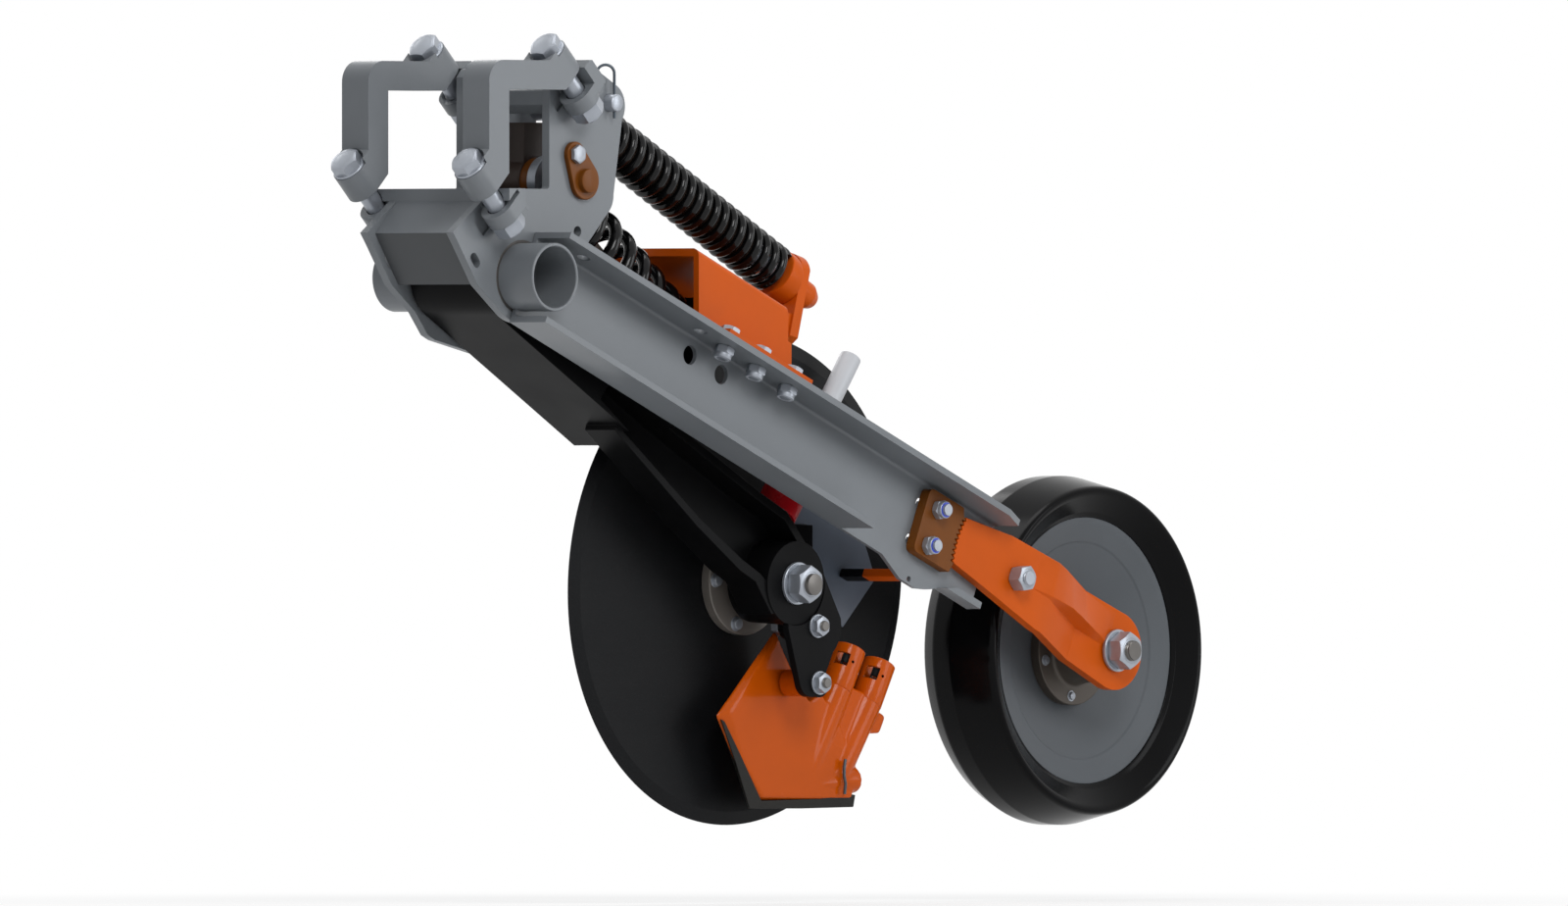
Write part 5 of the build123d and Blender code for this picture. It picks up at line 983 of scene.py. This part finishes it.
def make_shoe():
    """Hard shoe below and in front of the boot, set back towards the disc at its front edge."""
    near = [(-64, -143.5), (-41, -189), (-20, -236), (60, -236.5), (139, -235.5), (142, -223), (132, -221.5),
            (88, -226.5), (-2, -228), (-30, -186), (-58, -146)]
    far = [(-45, -143.5), (-20.5, -189), (3, -236), (60, -236.5), (139, -235.5), (142, -223), (132, -221.5),
           (88, -226.5), (15, -228), (-10, -186), (-38, -146)]
    bm = bmesh.new()
    loft(bm, side_place(BOOT_Y), [(-13, from_disc(far)), (10, from_disc(near))])
    finish_piece(bm, "wear_shoe", "disc_carrier", "shoe", bevel=0.8)


def make_boot():
    # The body is one moulding: its parts are laid over each other and melted together
    back = [(136, -227), (142, -209), (118, -150), (90, -118), (72, -126), (44, -92)]
    face = [(22, -58), (-50, -135), (-28, -188), (0, -224)] + back
    lip = [(23, -53), (-66, -140), (-36, -190), (-4, -228)] + back
    far = [(34, -60), (-52, -141), (-22, -190), (6, -227)] + back
    bm = bmesh.new()
    loft(bm, side_place(BOOT_Y), [(-6, from_disc(far)), (4.5, from_disc(lip)), (10.5, from_disc(face))])
    body = loose(bm, "boot_body")
    parts = []
    for top, foot, low, sunk in ((INLETS[0], (DX + 76, DZ - 203), 22.0, 11.0),
                                 (INLETS[1], (DX + 120, DZ - 205), 18.0, 4.0)):
        start = (top[0] - 44 * sin(INLET_LEAN), top[1] - 44 * cos(INLET_LEAN))
        parts.append(solid(taper, start, foot, 17.2, low, 0.97, sunk))
    parts.append(solid(taper, (DX + 62, DZ - 215), (DX + 148, DZ - 207), 9.0, 14.4))
    web = from_disc([(122, -106), (163, -119), (160, -138), (146, -190), (88, -200), (112, -128)])
    parts.append(solid(prism, side_place(BOOT_Y), web, -8.5, 8.5))
    lug = from_disc([(168, -160), (184, -159.5), (193, -143), (188, -139), (172, -135)])
    parts.append(solid(prism, side_place(BOOT_Y), rounded(lug, 2.5, 3), -6, 6))
    boolean(body, parts, "UNION")
    melt = body.modifiers.new("melt", "REMESH")
    melt.mode = "VOXEL"
    melt.voxel_size = 1.1 * MM
    apply_modifiers(body)
    ease = body.modifiers.new("ease", "SMOOTH")
    ease.factor = 0.5
    ease.iterations = 26
    apply_modifiers(body)
    cutters = [solid(lathe, inlet_place(top, -60), bar(13.5, 80), 48) for top in INLETS]
    cutters += [solid(lathe, place((x, 2.0, z), (0, 1, 0)), bar(12, 40), 32) for x, z in BOOT_BOLTS]
    cutters.append(solid(lathe, disc_place(18.0), bar(60, -60), 64))
    disc_room = from_disc([(-90, -260), (220, -260), (220, -20), (-90, -20)])
    cutters.append(solid(prism, side_place(28), disc_room, -50, 0))
    boolean(body, cutters)
    body.data.materials.clear()
    body.name = "seed_boot_shape"
    dress(body, "disc_carrier", "boot", "seed_boot", 40)

    bm = bmesh.new()
    for top in INLETS:
        outline = rounded([(-48, 17), (0, 17), (0, 13.5), (-48, 13.5)], [1.5, 1.4, 1.0, 0.5], 3)
        lathe(bm, inlet_place(top, 0), outline, 64, closed=True)
    collars = loose(bm, "inlet_collars")
    cutters = []
    square = rounded([(-7, -7.5), (7, -7.5), (7, 7.5), (-7, 7.5)], 1.5, 3)
    hole = [(8, 0), (8, 1.6), (24, 1.6), (24, 0)]
    for top in INLETS:
        for turn, make, *sizes in ((119, prism, square, 8, 24), (299, prism, square, 8, 24), (162, lathe, hole, 20)):
            side = inlet_place(top, -18) @ Matrix.Rotation(radians(turn), 4, "Z") @ Matrix.Rotation(pi / 2, 4, "Y")
            cutters.append(solid(make, side, *sizes))
    boolean(collars, cutters)
    # The inner wall of each collar more than 6 mm below its top is painted black: painted shade, so the windows look
    # dark inside
    mesh = collars.data
    mesh.materials.clear()
    backs = [inlet_place(top, 0).inverted() for top in INLETS]
    for face in mesh.polygons:
        spots = [back @ mesh.vertices[face.vertices[0]].co / MM for back in backs]
        spot = min(spots, key=lambda s: s.xy.length)
        if spot.xy.length < 14.2 and spot.z < -6:
            face.material_index = 1
    dress(collars, "disc_carrier", "boot black", sharp=40)

    bm = bmesh.new()
    route = [(DX + 119.5, -4.2, DZ - 186), (DX + 117.5, -4.6, DZ - 194), (DX + 117.0, -4.8, DZ - 203),
             (DX + 119.0, -5.0, DZ - 211), (DX + 118.5, -4.0, DZ - 222)]
    sweep(bm, route, lambda i: 1.6)
    finish_piece(bm, "boot_wire_clip", "disc_carrier", "wire", "")


# Spring struts
def make_struts():
    for node, body, pin, slope, outer, wire, length, turns in (
        ("upper_spring", "upper_strut", UPPER_PIN, UPPER_SLOPE, 54.0, 9.6, 320.6, 20.4),
        ("lower_spring", "lower_strut", LOWER_PIN, LOWER_SLOPE, 80.0, 14.0, 198.4, 5.6),
    ):
        where = strut_place(pin, slope, 42.3)
        bm = bmesh.new()
        coil(bm, where, outer, wire, length, turns)
        piece = finish_piece(bm, node + "_coil", body, "spring", node, sharp=50)
        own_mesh(piece)

    rod_end = solid(lathe, strut_place(UPPER_PIN, UPPER_SLOPE, 422), bar(13, 24), 24)
    soften("upper_rod", "upper_strut", "zinc", 0.6, [rod_end])

    eye = place((LOWER_PIN[0], 34.0, LOWER_PIN[2]), (0, -1, 0))
    bm = bmesh.new()
    lever = [(82, -42), (118, -42), (116, 18), (84, 18)]
    loft(bm, side_place(0), [(-34, lever), (-0.5, lever)])
    lathe(bm, eye, [(0, 12.6), (0, 25.2), (0.8, 26), (33.2, 26), (34, 25.2), (34, 12.6)], 64)
    lathe(bm, eye, [(34, 24), (46, 24)], 64, mat=1)
    lathe(bm, eye, [(45, 12.6), (45, 25.4), (45.6, 26), (56.4, 26), (57, 25.4), (57, 22.5), (55, 22), (55, 12.6)], 64,
          mat=2)
    lathe(bm, strut_place(LOWER_PIN, LOWER_SLOPE, 20), [(0, 0), (0, 8), (287, 8), (289, 6.6), (289, 0)], 40)
    finish_piece(bm, "lower_rod_shape", "lower_strut", "dark_brown brown zinc", "lower_rod lower_eye_bush", bevel=0.8)

    bm = bmesh.new()
    start = strut_place(UPPER_PIN, UPPER_SLOPE, 400.3)
    dome = rounded([(0, 10.2), (0, 14.5), (17, 14.5), (28, 9), (31.8, 0.01)], [0.5, 1.5, 7, 7, 0], 6)
    lathe(bm, start, dome, 48)
    finish_piece(bm, "rod_nut_dome", "upper_strut", "orange", "upper_rod_nut")

    bm = bmesh.new()
    collar = rounded([(0, 14.5), (0, 26), (12, 26), (12, 14.5)], [0.5, 1.5, 0, 0], 4)
    lathe(bm, strut_place(UPPER_PIN, UPPER_SLOPE, 363.4), collar, 64, closed=True)
    finish_piece(bm, "seat_collar", "press_frame", "orange", "")


# Stage
VIEW_AZIMUTH = -47.5
VIEW_DISTANCE = 42.0
FRAME_WIDTH = 1.62
DISC_DROP = 0.078  # the unit hangs on its toolbar, so the floor clears the disc at its lowest
VIEW_TARGET = (0.5126, 0.0327, -0.3206)


def area_light(name, spot, size, power, colour=(1, 1, 1)):
    """Soft lamp that points at the middle of the object."""
    data = bpy.data.lights.new(name, "AREA")
    data.shape = "RECTANGLE"
    data.size, data.size_y = size
    data.energy = power
    data.color = colour
    light = add_object(name, data)
    light.location = spot
    light.rotation_mode = "QUATERNION"
    light.rotation_quaternion = (Vector((0.45, 0.0, -0.35)) - Vector(spot)).to_track_quat("-Z", "Y")


def combine(tree, operation, *sockets):
    """Maths node that joins two values."""
    made = add_node(tree, "Math")
    made.operation = operation
    for socket, entry in zip(sockets, made.inputs):
        tree.links.new(socket, entry)
    return made.outputs[0]


def seen_rays(tree):
    """1 for what the camera sees straight, in a mirror or through glass, and 0 for lighting."""
    rays = add_node(tree, "LightPath").outputs
    straight = combine(tree, "MAXIMUM", rays["Is Camera Ray"], rays["Is Glossy Ray"])
    return combine(tree, "MAXIMUM", straight, rays["Is Transmission Ray"])


def mix_into(tree, share, first, second, output):
    """Sends a blend of two shaders to the output."""
    mix = add_node(tree, "MixShader", Fac=share)
    tree.links.new(first, mix.inputs[1])
    tree.links.new(second, mix.inputs[2])
    tree.links.new(mix.outputs["Shader"], output.inputs["Surface"])


def floor_material():
    """Pale floor that keeps the shadow near the object and fades to white away from it."""
    mat = bpy.data.materials.new("pale floor")
    mat.use_nodes = True
    tree = mat.node_tree
    shader = tree.nodes["Principled BSDF"]
    shader.inputs["Roughness"].default_value = 0.85
    where = add_node(tree, "TexCoord").outputs["Object"]
    cloth = add_node(tree, "TexNoise", Vector=where, Scale=2.0)
    pale = add_ramp(tree, cloth.outputs["Fac"], (0.86, 0.86, 0.86), (0.9, 0.9, 0.9), 0, 1)
    tree.links.new(pale, shader.inputs["Base Color"])
    reach = add_node(tree, "VectorMath")
    reach.operation = "LENGTH"
    tree.links.new(where, reach.inputs[0])
    fade = add_node(tree, "MapRange", Value=reach.outputs["Value"], From_Min=0.55, From_Max=1.3, To_Min=0.72)
    fade.interpolation_type = "SMOOTHSTEP"
    share = combine(tree, "MULTIPLY", fade.outputs["Result"], seen_rays(tree))
    white = add_node(tree, "Emission", Color=(1, 1, 1, 1), Strength=1.0)
    output = tree.nodes["Material Output"]
    mix_into(tree, share, shader.outputs["BSDF"], white.outputs["Emission"], output)
    return mat


def make_stage():
    low, high = cad_box
    mesh = bpy.data.meshes.new("floor")
    corners = [(-3, -3, 0), (3, -3, 0), (3, 3, 0), (-3, 3, 0)]
    mesh.from_pydata(corners, [], [(0, 1, 2, 3)])
    mesh.materials.append(floor_material())
    floor = add_object("floor", mesh)
    floor.location = ((low[0] + high[0]) / 2, (low[1] + high[1]) / 2, low[2] - DISC_DROP)

    world = bpy.data.worlds.new("studio")
    bpy.context.scene.world = world
    world.use_nodes = True
    tree = world.node_tree
    tree.nodes.clear()
    lit = add_node(tree, "Background", Color=(0.86, 0.89, 0.93, 1), Strength=0.29)
    seen = add_node(tree, "Background", Color=(1, 1, 1, 1), Strength=1.0)
    output = add_node(tree, "OutputWorld")
    mix_into(tree, seen_rays(tree), lit.outputs["Background"], seen.outputs["Background"], output)

    area_light("key", (-0.9, -2.6, 1.7), (1.3, 1.3), 52)
    area_light("fill", (1.9, -2.4, 0.3), (1.2, 1.8), 22, (0.96, 0.98, 1))
    area_light("top", (0.6, 0.4, 2.6), (2.0, 1.2), 26)
    area_light("back", (1.2, 2.4, 1.0), (2.0, 1.4), 20)

    azimuth = radians(VIEW_AZIMUTH)
    toward = Vector((-sin(azimuth), cos(azimuth), 0))
    lens = bpy.data.cameras.new("camera")
    lens.sensor_width = 36
    lens.lens = 36 * VIEW_DISTANCE / FRAME_WIDTH
    lens.clip_end = 1000.0
    camera = add_object("camera", lens)
    camera.location = Vector(VIEW_TARGET) - toward * VIEW_DISTANCE
    camera.rotation_mode = "QUATERNION"
    camera.rotation_quaternion = toward.to_track_quat("-Z", "Y")
    bpy.context.scene.camera = camera
    bpy.context.scene.view_settings.view_transform = "Standard"


make_head()
make_press_frame()
make_wheel()
make_disc()
make_disc_arm()
make_shoe()
make_boot()
make_struts()
make_stage()
